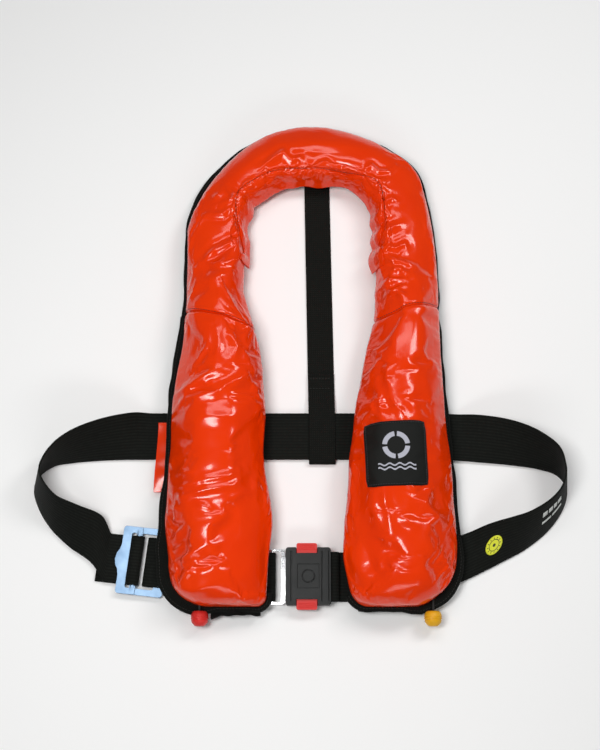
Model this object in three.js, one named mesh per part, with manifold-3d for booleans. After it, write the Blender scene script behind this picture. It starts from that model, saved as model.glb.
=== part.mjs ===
// Automatic inflatable life jacket, lying on its back. Millimetres, +Z up.
// The origin is the underside of the back strap where it loops round the waist belt,
// +X runs across the chest, +Y towards the collar.
import * as THREE from "three";
import { mergeVertices } from "three/addons/utils/BufferGeometryUtils.js";
import Module from "manifold-3d";

const wasm = await Module();
wasm.setup();

// ---- driving dimensions ----
const GAP = 0.3; // between pieces that touch
const WEBBING_WIDTH = 50;
const WEBBING_THICKNESS = 1.8;
const STRAP_WIDTH = 28; // back strap
const COVER_WALL = 2.2; // protective cover, folded double
const COVER_CROWN = 46; // height of the cover over its rim
const PANEL_THICKNESS = 2.4; // back panel
const RIM_LOBE = 14; // height of the cover's rim over the ground, on the lobes
const RIM_COLLAR = 4.8; // and behind the neck
const RIM_DROP_FROM = 60; // the rim comes down between these two Y
const RIM_DROP_TO = 200;
const SIDE_HEIGHT = 12; // the cover is widest this far over its rim
const END_ROUNDING = 34; // length over which a lobe's end comes down
const END_CROWN = 0.55; // the crown left at the very end, as a share
const TUCK = 0.88; // the rim's width as a share of the widest
const BINDING_HEIGHT = 5;
const CLOSURE_FLAP = [50, 8, 6]; // black closure tape that shows at the left lobe's end
const CLOSURE_TAB = [60, 4, 6]; // and at the right lobe's
const FACING_THICKNESS = 1.6;
const FACING_HEIGHT = 19;
const BLADDER_GAP = 0.6; // folded bladder to cover
const BLADDER_INSET = 9; // and to the cover's sides
const BLADDER_FLOOR = 34; // the bladder's underside on the lobes, over the inflators
const TUNNEL_WALL = 0.8;
const TUNNEL_ROOM = 2; // each side of the belt
const KEEPER = [27, 74]; // orange tab that holds the belt on the left lobe
const BUCKLE_LENGTH = 46;
const BUCKLE_WIDTH = 58;
const BUCKLE_TOP = 17;
const BUCKLE_BOTTOM = 1;
const BUCKLE_WALL = 2.5;
const BUTTON_LENGTH = 21;
const BUTTON_PROUD = 4.5;
const BUTTON_DEPTH = 9; // how far a button reaches into the shells
const BUTTON_NOTCH = 5.8; // how far the front shell is cut back over a button
const PAWL_THICKNESS = 0.9;
const SPRING_RIB = 3; // half the rib that both button springs push on
const BUCKLE_BAR_RADIUS = 2;
const TONGUE_THICKNESS = 2.4;
const TONGUE_Z = 6.8; // middle of the steel tongue
const TONGUE_HALF = 20; // half the width of its blade
const RING_LENGTH = 17.5;
const RING_RAIL = 4.5;
const ADJUSTER_THICKNESS = 2.5;
const ADJUSTER_WIDTH = 69;
const ADJUSTER_RAIL = 6.5;
const ADJUSTER_BAR_RADIUS = 3.5;
const ADJUSTER_TRAVEL = 1.5;
const INFLATOR_LENGTH = 40;
const INFLATOR_WIDTH = 22;
const INFLATOR_FROM_END = 30; // body to the lobe's end
const NECK_RADIUS = 7.5; // the neck that the cylinder screws into
const NECK_LENGTH = 8;
const EAR_THICKNESS = 2;
const EAR_HALF = 4.5;
const LEVER_LENGTH = 12;
const LEVER_THICKNESS = 5;
const LEVER_HUB_RADIUS = 3.2;
const LEVER_HALF = 2; // half the arm's depth
const PIN_RADIUS = 1;
const PIN_CLEARANCE = 0.35;
const CYLINDER_RADIUS = 9; // gas cylinder
const CYLINDER_LENGTH = 96;
const KNOB_RADIUS = 9;
const KNOB_LENGTH = 15;
const KNOB_HANG = 4; // from the lobe's end
const CORD_HOLE_RADIUS = 2.2;
const CORD_RADIUS = 1.25;
const ORAL_TUBE_RADIUS = 6;
const ORAL_TUBE_LENGTH = 78;
const ORAL_VALVE_RADIUS = 7;
const ORAL_VALVE_LENGTH = 12;
const ORAL_CAP_RADIUS = 9;
const ORAL_CAP_LENGTH = 15;
const WHISTLE = [16, 45, 10];
const WHISTLE_WALL = 2.5;
const PATCH = [62, 66];
const PATCH_THICKNESS = 0.9;
const STICKER_RADIUS = 10;
const STICKER_THICKNESS = 0.4;
const STICKER_GAP = 1; // from its middle to the webbing, which is a little twisted under it
const STICKER_ROW = 3.4; // of the belt's stations
const STICKER_ROW_LENGTH = 25; // between stations there

// Stations along the horseshoe, from the end of the left lobe round the neck to the end of the
// right lobe: outer edge x, y, inner edge x, y, and how far the black edging stands out.
const STATIONS = [
  [-150, -178, -61, -178, 12],
  [-158, -140, -60, -140, 12],
  [-162, -85, -57, -88, 8],
  [-160, -25, -61, -30, 5],
  [-158, 35, -64, 35, 6],
  [-151, 80, -68, 78, 8],
  [-148, 128, -72, 108, 5], // left shoulder seam
  [-148, 180, -86, 155, 4],
  [-146, 232, -85, 200, 5],
  [-133, 268, -85, 232, 8],
  [-110, 300, -80, 256, 8],
  [-78, 330, -64, 270, 5],
  [-40, 345, -38, 277, 3],
  [0, 348, -6, 282, 2.5],
  [38, 338, 22, 281, 3],
  [72, 320, 40, 272, 6],
  [98, 298, 51, 256, 6],
  [111, 264, 55, 234, 4],
  [119, 215, 55, 200, 3],
  [121, 170, 54, 160, 3],
  [120, 135, 51, 119, 3], // right shoulder seam
  [121, 80, 41, 74, 4],
  [124, 25, 31, 22, 4],
  [128, -30, 25, -32, 4],
  [130, -85, 21, -88, 5],
  [130, -135, 19, -138, 8],
  [121, -178, 26, -178, 10],
];
const LAST = STATIONS.length - 1;
const LEFT_SEAM = 6;
const RIGHT_SEAM = 20;
const LOBE_END = -178;
const SEAM_GAP = 0.003; // half the gap at a seam, in stations

const ROWS_FOR_WIDTH = 50; // webbing width that the belt's rows are given for
// The waist belt's lower edge x, y, z and the way its width points, x and y as shares of the
// width; what is left of the width rises. It runs from the buckle round the back to the adjuster.
const BELT_Z = 3; // middle of the webbing behind the back
const FRONT_Z = 4.8; // and in front, under the lobes
const BELT_RIGHT_TURN = [
  [40, -172, FRONT_Z, 0, 1],
  [92, -166, FRONT_Z, 0.1, 0.995],
  [138, -152, 4, 0.13, 0.9915],
  [160, -142, 3, 0.12, 0.95],
  [182, -131, 2, 0.06, 0.82],
  [206, -118, 1.5, 0.01, 0.68],
  [232, -97, 1.2, -0.08, 0.52],
  [248, -73, 1.2, -0.18, 0.32],
  [251, -54, 1.2, -0.18, 0.3],
  [243, -42, 1.2, -0.1, 0.42],
  [224, -35, 1.2, -0.04, 0.62],
  [197, -31, 1.6, 0, 0.84],
  [164, -28, 2.6, 0, 0.97],
  [138, -26, BELT_Z, 0, 1],
  [112, -25, BELT_Z, 0, 1],
];
const BUCKLE_BAR_Z = FRONT_Z + BUCKLE_BAR_RADIUS + GAP + WEBBING_THICKNESS / 2;
const BELT_BACK = [
  [60, -25, BELT_Z, 0, 1],
  [0, -25, BELT_Z, 0, 1],
  [-75, -25, BELT_Z, 0, 1],
  [-150, -25, BELT_Z, 0, 1],
];
const BELT_LEFT_TURN = [
  [-182, -25, BELT_Z, 0, 1],
  [-210, -25, 1.8, 0, 0.9],
  [-240, -26, 1.2, 0, 0.7],
  [-264, -28, 1.2, 0.02, 0.48],
  [-285, -32, 1.2, 0.12, 0.25],
  [-299, -43, 1.2, 0.22, 0.15],
  [-303, -58, 1.2, 0.28, 0.24],
  [-297, -77, 1.2, 0.28, 0.38],
  [-284, -97, 1.4, 0.25, 0.55],
  [-264, -116, 2, 0.25, 0.78],
  [-240, -133, 3, 0.22, 0.94],
];

// ---- places ----
const BUCKLE_AT = new THREE.Vector3(-18, -147, 0);
const BUCKLE_X0 = BUCKLE_AT.x - BUCKLE_LENGTH / 2;
const ADJUSTER_AT = new THREE.Vector3(-190, -131, 0);
const ADJUSTER_TURN = THREE.MathUtils.degToRad(-6.5);
const ADJUSTER_MATRIX = new THREE.Matrix4()
  .makeRotationZ(ADJUSTER_TURN)
  .setPosition(ADJUSTER_AT);
const ADJUSTER_PLATE_Z = 5.75;
const ADJUSTER_LEFT = -21; // ends of the frame and its window along the belt
const ADJUSTER_RIGHT = 27;
const ADJUSTER_WINDOW_LEFT = -12;
const ADJUSTER_WINDOW_RIGHT = 17;
const ADJUSTER_BAR_AT = -4;
const BACK_STRAP_END = 325;
const RED_KNOB_X = -127;
const YELLOW_KNOB_X = 107;
const CORD_Z = RIM_LOBE + CYLINDER_RADIUS; // the cylinders rest on the back panel
const BUCKLE_BAR_X = -1;
const KNOB_Z = 16;

const ADJUSTER_BELT_Z = 3.3; // the belt where it runs in under the adjuster
const intoAdjuster = (u) => {
  const from = new THREE.Vector3(u, -WEBBING_WIDTH / 2, ADJUSTER_BELT_Z);
  from.applyMatrix4(ADJUSTER_MATRIX);
  return [...from.toArray(), -Math.sin(ADJUSTER_TURN), Math.cos(ADJUSTER_TURN)];
};
const BELT_ROWS = [
  ...BELT_RIGHT_TURN,
  ...BELT_BACK,
  ...BELT_LEFT_TURN,
  intoAdjuster(-34),
  intoAdjuster(-33),
];

// ---- materials ----
const plain = (color, roughness, metalness = 0) =>
  new THREE.MeshStandardMaterial({ color, roughness, metalness });
const ORANGE_PVC = plain(0xeb3c0a, 0.25);
const BLACK_FABRIC = plain(0x101110, 0.9);
const BLACK_WEBBING = plain(0x141615, 0.8);
const BLACK_PLASTIC = plain(0x2b2e2c, 0.45);
const RED_PLASTIC = plain(0xd5302b, 0.4);
const YELLOW_PLASTIC = plain(0xe0a820, 0.4);
const YELLOW_LABEL = plain(0xd6dc2a, 0.6);
const STEEL = plain(0xc9d3dc, 0.25, 1);
const GREEN_STEEL = plain(0x3f6b4a, 0.5, 0.6);
const BLADDER_FILM = plain(0xf2b51c, 0.6);
const RUBBER = plain(0x1c1c1c, 0.9);

// ---- shape helpers ----
const v3 = (x, y, z) => new THREE.Vector3(x, y, z);
const between = (from, to, steps) =>
  Array.from({ length: steps + 1 }, (_, k) => from + ((to - from) * k) / steps);
const group = new THREE.Group();

function place(name, geometry, material, parent = group) {
  const mesh = new THREE.Mesh(geometry, material);
  mesh.name = name;
  parent.add(mesh);
  return mesh;
}

// A closed body through rings of points, all with the same count, with a fan on each end.
function loft(rings) {
  const count = rings[0].length;
  const points = rings.flat();
  const faces = [];
  const corner = (i, j) => i * count + (j % count);
  for (let i = 0; i + 1 < rings.length; i++)
    for (let j = 0; j < count; j++) {
      faces.push(corner(i, j), corner(i, j + 1), corner(i + 1, j + 1));
      faces.push(corner(i, j), corner(i + 1, j + 1), corner(i + 1, j));
    }
  for (const [i, flip] of [[0, true], [rings.length - 1, false]]) {
    const middle = rings[i].reduce((sum, p) => sum.add(p), v3(0, 0, 0)).divideScalar(count);
    points.push(middle);
    for (let j = 0; j < count; j++) {
      const [a, b] = flip ? [j + 1, j] : [j, j + 1];
      faces.push(corner(i, a), corner(i, b), points.length - 1);
    }
  }
  const geometry = new THREE.BufferGeometry().setFromPoints(points);
  geometry.setIndex(faces);
  return volumeOf(geometry) < 0 ? turnedRound(geometry) : geometry;
}

function volumeOf(geometry) {
  const at = geometry.getAttribute("position");
  const index = geometry.index.array;
  const corners = [v3(), v3(), v3()];
  let volume = 0;
  for (let i = 0; i < index.length; i += 3) {
    corners.forEach((p, k) => p.fromBufferAttribute(at, index[i + k]));
    volume += corners[0].dot(corners[1].clone().cross(corners[2])) / 6;
  }
  return volume;
}

function turnedRound(geometry) {
  const index = geometry.index.array;
  for (let i = 0; i < index.length; i += 3) [index[i], index[i + 1]] = [index[i + 1], index[i]];
  return geometry;
}

function toSolid(geometry) {
  const bare = geometry.clone();
  for (const name of ["normal", "uv"]) bare.deleteAttribute(name);
  const merged = mergeVertices(bare, 1e-4);
  return new wasm.Manifold(
    new wasm.Mesh({
      numProp: 3,
      vertProperties: merged.attributes.position.array,
      triVerts: new Uint32Array(merged.index.array),
    }),
  );
}

function toGeometry(solid) {
  const mesh = solid.getMesh();
  const geometry = new THREE.BufferGeometry();
  geometry.setAttribute("position", new THREE.BufferAttribute(mesh.vertProperties, 3));
  geometry.setIndex(new THREE.BufferAttribute(mesh.triVerts, 1));
  return geometry;
}

const cut = (body, ...tools) =>
  toGeometry(tools.reduce((solid, tool) => solid.subtract(toSolid(tool)), toSolid(body)));
const join = (body, ...others) =>
  toGeometry(others.reduce((solid, other) => solid.add(toSolid(other)), toSolid(body)));

// A box given by its lowest and highest corners.
function box(low, high) {
  const size = high.map((value, k) => value - low[k]);
  const geometry = new THREE.BoxGeometry(...size);
  return geometry.translate(...low.map((value, k) => value + size[k] / 2));
}

// A cylinder of this radius from one point to another.
function rod(from, to, radius, sides = 14) {
  const along = to.clone().sub(from);
  const geometry = new THREE.CylinderGeometry(radius, radius, along.length(), sides);
  const turn = new THREE.Quaternion().setFromUnitVectors(v3(0, 1, 0), along.clone().normalize());
  return geometry.applyQuaternion(turn).translate(...from.clone().add(to).divideScalar(2).toArray());
}

// A solid of revolution about the Y axis, from [radius, y] points that start and end on the axis.
const turned = (profile, sides = 16) =>
  new THREE.LatheGeometry(profile.map(([r, y]) => new THREE.Vector2(r, y)), sides);

// A rectangle with round corners, as a Shape.
function roundedRectangle(x0, y0, x1, y1, r) {
  const shape = new THREE.Shape();
  shape.moveTo(x0 + r, y0).lineTo(x1 - r, y0);
  shape.absarc(x1 - r, y0 + r, r, -Math.PI / 2, 0);
  shape.lineTo(x1, y1 - r).absarc(x1 - r, y1 - r, r, 0, Math.PI / 2);
  shape.lineTo(x0 + r, y1).absarc(x0 + r, y1 - r, r, Math.PI / 2, Math.PI);
  shape.lineTo(x0, y0 + r).absarc(x0 + r, y0 + r, r, Math.PI, 1.5 * Math.PI);
  return shape;
}

const plate = (shape, z0, z1, segments = 3) =>
  new THREE.ExtrudeGeometry(shape, {
    depth: z1 - z0,
    bevelEnabled: false,
    curveSegments: segments,
  }).translate(0, 0, z0);

// Points of an arc in a plane, from one angle to another, in degrees.
const arc = (x, y, r, from, to, steps = 6) =>
  Array.from({ length: steps + 1 }, (_, k) => {
    const a = THREE.MathUtils.degToRad(from + ((to - from) * k) / steps);
    return [x + r * Math.cos(a), y + r * Math.sin(a)];
  });

// A ring of webbing: a point on its lower edge's middle line, its width's direction and its face's.
function webbingRing(from, width, face, size = WEBBING_WIDTH) {
  const side = (offset) =>
    between(0, size, 4).map((y) =>
      from.clone().addScaledVector(width, y).addScaledVector(face, offset),
    );
  return [...side(WEBBING_THICKNESS / 2), ...side(-WEBBING_THICKNESS / 2).reverse()];
}

// Webbing that stays square to one plane: its middle line in X and Z, its width along Y.
function stripRings(line, size, move = new THREE.Matrix4()) {
  return line.map(([x, z], k) => {
    const [before, after] = [line[Math.max(k - 1, 0)], line[Math.min(k + 1, line.length - 1)]];
    const face = v3(before[1] - after[1], 0, after[0] - before[0]).normalize();
    const ring = webbingRing(v3(x, -size / 2, z), v3(0, 1, 0), face, size);
    return ring.map((p) => p.applyMatrix4(move));
  });
}

const strip = (line, size, move) => loft(stripRings(line, size, move));

// Webbing that twists: each row is a lower edge and the way the width points from it.
function ribbonFrames(rows) {
  const lower = rows.map(([x, y, z]) => v3(x, y, z));
  const across = rows.map(([, , , ax, ay]) =>
    v3(ax, ay, Math.sqrt(Math.max(0, 1 - ax * ax - ay * ay))).normalize(),
  );
  const low = new THREE.CatmullRomCurve3(lower);
  const wide = new THREE.CatmullRomCurve3(across, false, "catmullrom");
  return (row) => {
    const t = row / (rows.length - 1);
    const width = wide.getPoint(t).normalize();
    const face = low.getTangent(t).cross(width).normalize();
    const from = low.getPoint(t).addScaledVector(width, (ROWS_FOR_WIDTH - WEBBING_WIDTH) / 2);
    return { from, width, face };
  };
}

function ribbonRings(rows) {
  const frameAt = ribbonFrames(rows);
  return between(0, rows.length - 1, (rows.length - 1) * 2).map((row) => {
    const { from, width, face } = frameAt(row);
    return webbingRing(from, width, face);
  });
}

// ---- the horseshoe ----
const outerEdge = new THREE.CatmullRomCurve3(STATIONS.map(([x, y]) => v3(x, y, 0)));
const innerEdge = new THREE.CatmullRomCurve3(STATIONS.map(([, , x, y]) => v3(x, y, 0)));
const edging = new THREE.CatmullRomCurve3(STATIONS.map((row) => v3(row[4], 0, 0)));

// The place, half width, direction, rim and crown of the cover at a station.
function stationAt(s) {
  const t = s / LAST;
  const [outer, inner] = [outerEdge.getPoint(t), innerEdge.getPoint(t)];
  const middle = outer.clone().add(inner).divideScalar(2);
  const drop = THREE.MathUtils.smoothstep(middle.y, RIM_DROP_FROM, RIM_DROP_TO);
  const rim = THREE.MathUtils.lerp(RIM_LOBE, RIM_COLLAR, drop);
  const fromEnd = THREE.MathUtils.clamp((middle.y - LOBE_END) / END_ROUNDING, 0, 1);
  const rounding = Math.sqrt(1 - (1 - fromEnd) ** 2);
  const crown = COVER_CROWN * THREE.MathUtils.lerp(END_CROWN, 1, rounding);
  return {
    middle,
    across: inner.clone().sub(outer).normalize(),
    half: outer.distanceTo(inner) / 2,
    edge: edging.getPoint(t).x,
    drop,
    rim,
    top: rim + crown,
  };
}

// A ring of [share across, height] points placed at a station; u runs from the outer edge in.
const ringAt = (station, points) =>
  points.map(([u, z]) => {
    const p = station.middle.clone().addScaledVector(station.across, u);
    return p.setZ(z);
  });

// The upper half of a superellipse from -half to half, standing on z.
function dome(half, z, height, steps = 10, power = 2.3) {
  return Array.from({ length: steps + 1 }, (_, k) => {
    const a = (Math.PI * k) / steps;
    const shaped = (value) => Math.sign(value) * Math.abs(value) ** (2 / power);
    return [-half * shaped(Math.cos(a)), z + height * shaped(Math.sin(a) + 1e-12)];
  });
}

function coverRing(s, inset, under = 0) {
  const at = stationAt(s);
  const half = at.half - inset;
  const tucked = at.half * TUCK - inset;
  const widest = at.rim + SIDE_HEIGHT;
  return ringAt(at, [
    [-tucked, at.rim - under],
    ...dome(half, widest, at.top - inset - widest),
    [tucked, at.rim - under],
  ]);
}

const alongHorseshoe = (samples, ring) => loft(samples.map(ring));

// A rectangular strip that follows the horseshoe, its four limits worked out at each station.
const edgeStrip = (samples, limits) =>
  alongHorseshoe(samples, (s) => {
    const at = stationAt(s);
    const { near, far, low, high } = limits(at);
    return ringAt(at, [
      [near, low],
      [near, high],
      [far, high],
      [far, low],
    ]);
  });

// Where each piece of the cover is sampled. The hollow uses the same samples as the skin, from
// the second one at a lobe's end and past the last one at a seam.
const LOBE_STEPS = 8;
const COLLAR_STEPS = 22;
const BLADDER_STEPS = 34;
const AT_END = [0, 0.08, 0.25, 0.5];
const PAST_SEAM = 0.4;
const SAMPLES = {
  left: [...AT_END, ...between(1, LEFT_SEAM - SEAM_GAP, LOBE_STEPS)],
  collar: between(LEFT_SEAM + SEAM_GAP, RIGHT_SEAM - SEAM_GAP, COLLAR_STEPS),
  right: [
    ...between(RIGHT_SEAM + SEAM_GAP, LAST - 1, LOBE_STEPS),
    ...AT_END.map((s) => LAST - s).reverse(),
  ],
};
const HOLLOWS = {
  left: [...SAMPLES.left.slice(1), LEFT_SEAM + PAST_SEAM],
  collar: [LEFT_SEAM - PAST_SEAM, ...SAMPLES.collar, RIGHT_SEAM + PAST_SEAM],
  right: [RIGHT_SEAM - PAST_SEAM, ...SAMPLES.right.slice(0, -1)],
};
const BLADDER_FROM = 0.95;

function addCovers() {
  for (const [name, samples] of Object.entries(SAMPLES)) {
    const skin = alongHorseshoe(samples, (s) => coverRing(s, 0));
    const hollow = alongHorseshoe(HOLLOWS[name], (s) => coverRing(s, COVER_WALL, 2 * COVER_WALL));
    const knobX = name === "left" ? RED_KNOB_X : YELLOW_KNOB_X;
    const throughEnd = [LOBE_END - 5, LOBE_END + 9].map((y) => v3(knobX, y, CORD_Z));
    const cordHole = rod(...throughEnd, CORD_HOLE_RADIUS, 10);
    const shell = name === "collar" ? cut(skin, hollow) : cut(skin, hollow, cordHole);
    place(`cover_${name}`, shell, ORANGE_PVC);
    const panel = edgeStrip(samples, (at) => ({
      near: -(at.half + at.edge - 1),
      far: at.half * TUCK + 1.5,
      low: at.rim - GAP - PANEL_THICKNESS,
      high: at.rim - GAP,
    }));
    place(`back_panel_${name}`, panel, BLACK_FABRIC);
    const binding = edgeStrip(samples, (at) => ({
      near: -(at.half + at.edge),
      far: -(at.half * 0.97 + GAP),
      low: at.rim,
      high: at.rim + BINDING_HEIGHT,
    }));
    place(`edge_binding_${name}`, binding, BLACK_FABRIC);
  }
  const facing = edgeStrip(SAMPLES.collar.slice(2, -2), (at) => ({
    near: at.half + GAP,
    far: at.half + GAP + FACING_THICKNESS,
    low: at.rim + 1,
    high: at.rim + 1 + FACING_HEIGHT,
  }));
  place("neck_facing", facing, ORANGE_PVC);
  const flap = (name, middle, [width, length, thickness], corner) => {
    const [x0, x1] = [middle - width / 2, middle + width / 2];
    const shape = roundedRectangle(x0, LOBE_END - length, x1, LOBE_END - GAP, corner);
    const low = RIM_LOBE - thickness / 2;
    place(name, plate(shape, low, low + thickness), BLACK_FABRIC);
  };
  flap("closure_tape_end_left", -91, CLOSURE_FLAP, 2);
  flap("closure_tape_end_right", 62, CLOSURE_TAB, 1.5);
}

function addBladder() {
  const ring = (s) => {
    const at = stationAt(s);
    const floor = THREE.MathUtils.lerp(BLADDER_FLOOR, RIM_COLLAR + 5, at.drop);
    const height = at.top - COVER_WALL - BLADDER_GAP - floor;
    return ringAt(at, dome(at.half - BLADDER_INSET, floor, height, 8));
  };
  const samples = between(BLADDER_FROM, LAST - BLADDER_FROM, BLADDER_STEPS);
  place("bladder", alongHorseshoe(samples, ring), BLADDER_FILM);
}

// ---- belt, straps and the tunnels that hold them ----
function addBelt() {
  const left = ADJUSTER_PLATE_Z;
  const wrap = ADJUSTER_BAR_RADIUS + GAP + WEBBING_THICKNESS / 2;
  const barAt = ADJUSTER_BAR_AT;
  const throughAdjuster = [
    [-20, ADJUSTER_BELT_Z],
    [-14.5, ADJUSTER_BELT_Z],
    ...arc(-13, left - 0.2, 2.4, -75, -20, 3),
    ...arc(barAt - ADJUSTER_TRAVEL, left, wrap, 172, 90, 5),
    ...arc(barAt, left, wrap, 80, -90, 9),
    [-20, left - wrap],
    [-44, left - wrap],
  ];
  const aroundBuckleBar = [
    [13, 2 * BUCKLE_BAR_Z - FRONT_Z],
    ...arc(BUCKLE_BAR_X, BUCKLE_BAR_Z, BUCKLE_BAR_Z - FRONT_Z, 90, 270, 8),
    [20, FRONT_Z],
  ];
  const atBuckle = new THREE.Matrix4().makeTranslation(0, BUCKLE_AT.y, 0);
  const rings = [
    ...stripRings(aroundBuckleBar, WEBBING_WIDTH, atBuckle),
    ...ribbonRings(BELT_ROWS),
    ...stripRings(throughAdjuster, WEBBING_WIDTH, ADJUSTER_MATRIX),
  ];
  place("waist_belt", loft(rings), BLACK_WEBBING);
}

function addStraps() {
  const loopZ = 2 * BELT_Z;
  const around = strip(
    [
      [BACK_STRAP_END, WEBBING_THICKNESS / 2],
      [-26, WEBBING_THICKNESS / 2],
      ...arc(-27, BELT_Z, BELT_Z - WEBBING_THICKNESS / 2, -90, -270, 6),
      [36, loopZ - WEBBING_THICKNESS / 2],
      [46, BELT_Z + 0.1],
      [68, BELT_Z],
    ],
    STRAP_WIDTH,
  );
  place("back_strap", around.rotateZ(Math.PI / 2), BLACK_WEBBING);

  const wrap = ADJUSTER_THICKNESS / 2 + GAP + WEBBING_THICKNESS / 2;
  const left = strip(
    [
      [102, 2.3],
      [46, 2.3],
      [ADJUSTER_RIGHT + 2, ADJUSTER_PLATE_Z - wrap],
      ...arc(ADJUSTER_WINDOW_RIGHT, ADJUSTER_PLATE_Z, wrap, -90, -270, 6),
      [ADJUSTER_RIGHT + 1, ADJUSTER_PLATE_Z + wrap],
      [ADJUSTER_RIGHT + 10, 6.2],
      [ADJUSTER_RIGHT + 21, 5],
    ],
    WEBBING_WIDTH,
    ADJUSTER_MATRIX,
  );
  place("front_left_strap", left, BLACK_WEBBING);

  const ringBar = BUCKLE_X0 - GAP - RING_LENGTH + RING_RAIL; // inner edge of the ring's left bar
  const layer = TONGUE_THICKNESS / 2 + GAP + WEBBING_THICKNESS / 2;
  const loop = strip(
    [
      [-106, 4.6],
      [-72, 4.6],
      [ringBar - RING_RAIL - 1.5, TONGUE_Z - layer],
      ...arc(ringBar, TONGUE_Z, layer, -90, 90, 6),
      [ringBar - RING_RAIL - 1, TONGUE_Z + layer],
      [-74, 7.5],
      [-106, 7.4],
    ],
    WEBBING_WIDTH - 1,
    new THREE.Matrix4().makeTranslation(0, BUCKLE_AT.y, 0),
  );
  place("tongue_webbing_loop", loop, BLACK_WEBBING);
}

function addTunnels() {
  const sleeve = (name, x0, x1, y0, y1, top) => {
    const outside = box([x0, y0, 0], [x1, y1, top]);
    const inside = box(
      [x0 - 1, y0 + TUNNEL_WALL, TUNNEL_WALL],
      [x1 + 1, y1 - TUNNEL_WALL, top - TUNNEL_WALL],
    );
    place(name, cut(outside, inside), BLACK_FABRIC);
  };
  const under = RIM_LOBE - 2 * GAP - PANEL_THICKNESS;
  const room = WEBBING_WIDTH / 2 + TUNNEL_ROOM;
  const backMiddle = -25 + WEBBING_WIDTH / 2;
  sleeve("back_tunnel_left", -142, -82, backMiddle - room, backMiddle + room, under);
  sleeve("back_tunnel_right", 46, 112, backMiddle - room, backMiddle + room, under);
  sleeve("front_tunnel_left", -148, -101, BUCKLE_AT.y - room - 4, BUCKLE_AT.y + room + 16, under);
  sleeve("front_tunnel_right", 48, 98, BUCKLE_AT.y - room - 1, BUCKLE_AT.y + room + 13, under);
  const keeper = roundedRectangle(-150 - KEEPER[0], 14 - KEEPER[1], -150, 14, 2);
  const overBelt = BELT_Z + WEBBING_THICKNESS / 2 + GAP;
  place("belt_keeper_left", plate(keeper, overBelt, overBelt + FACING_THICKNESS), ORANGE_PVC);
}

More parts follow.
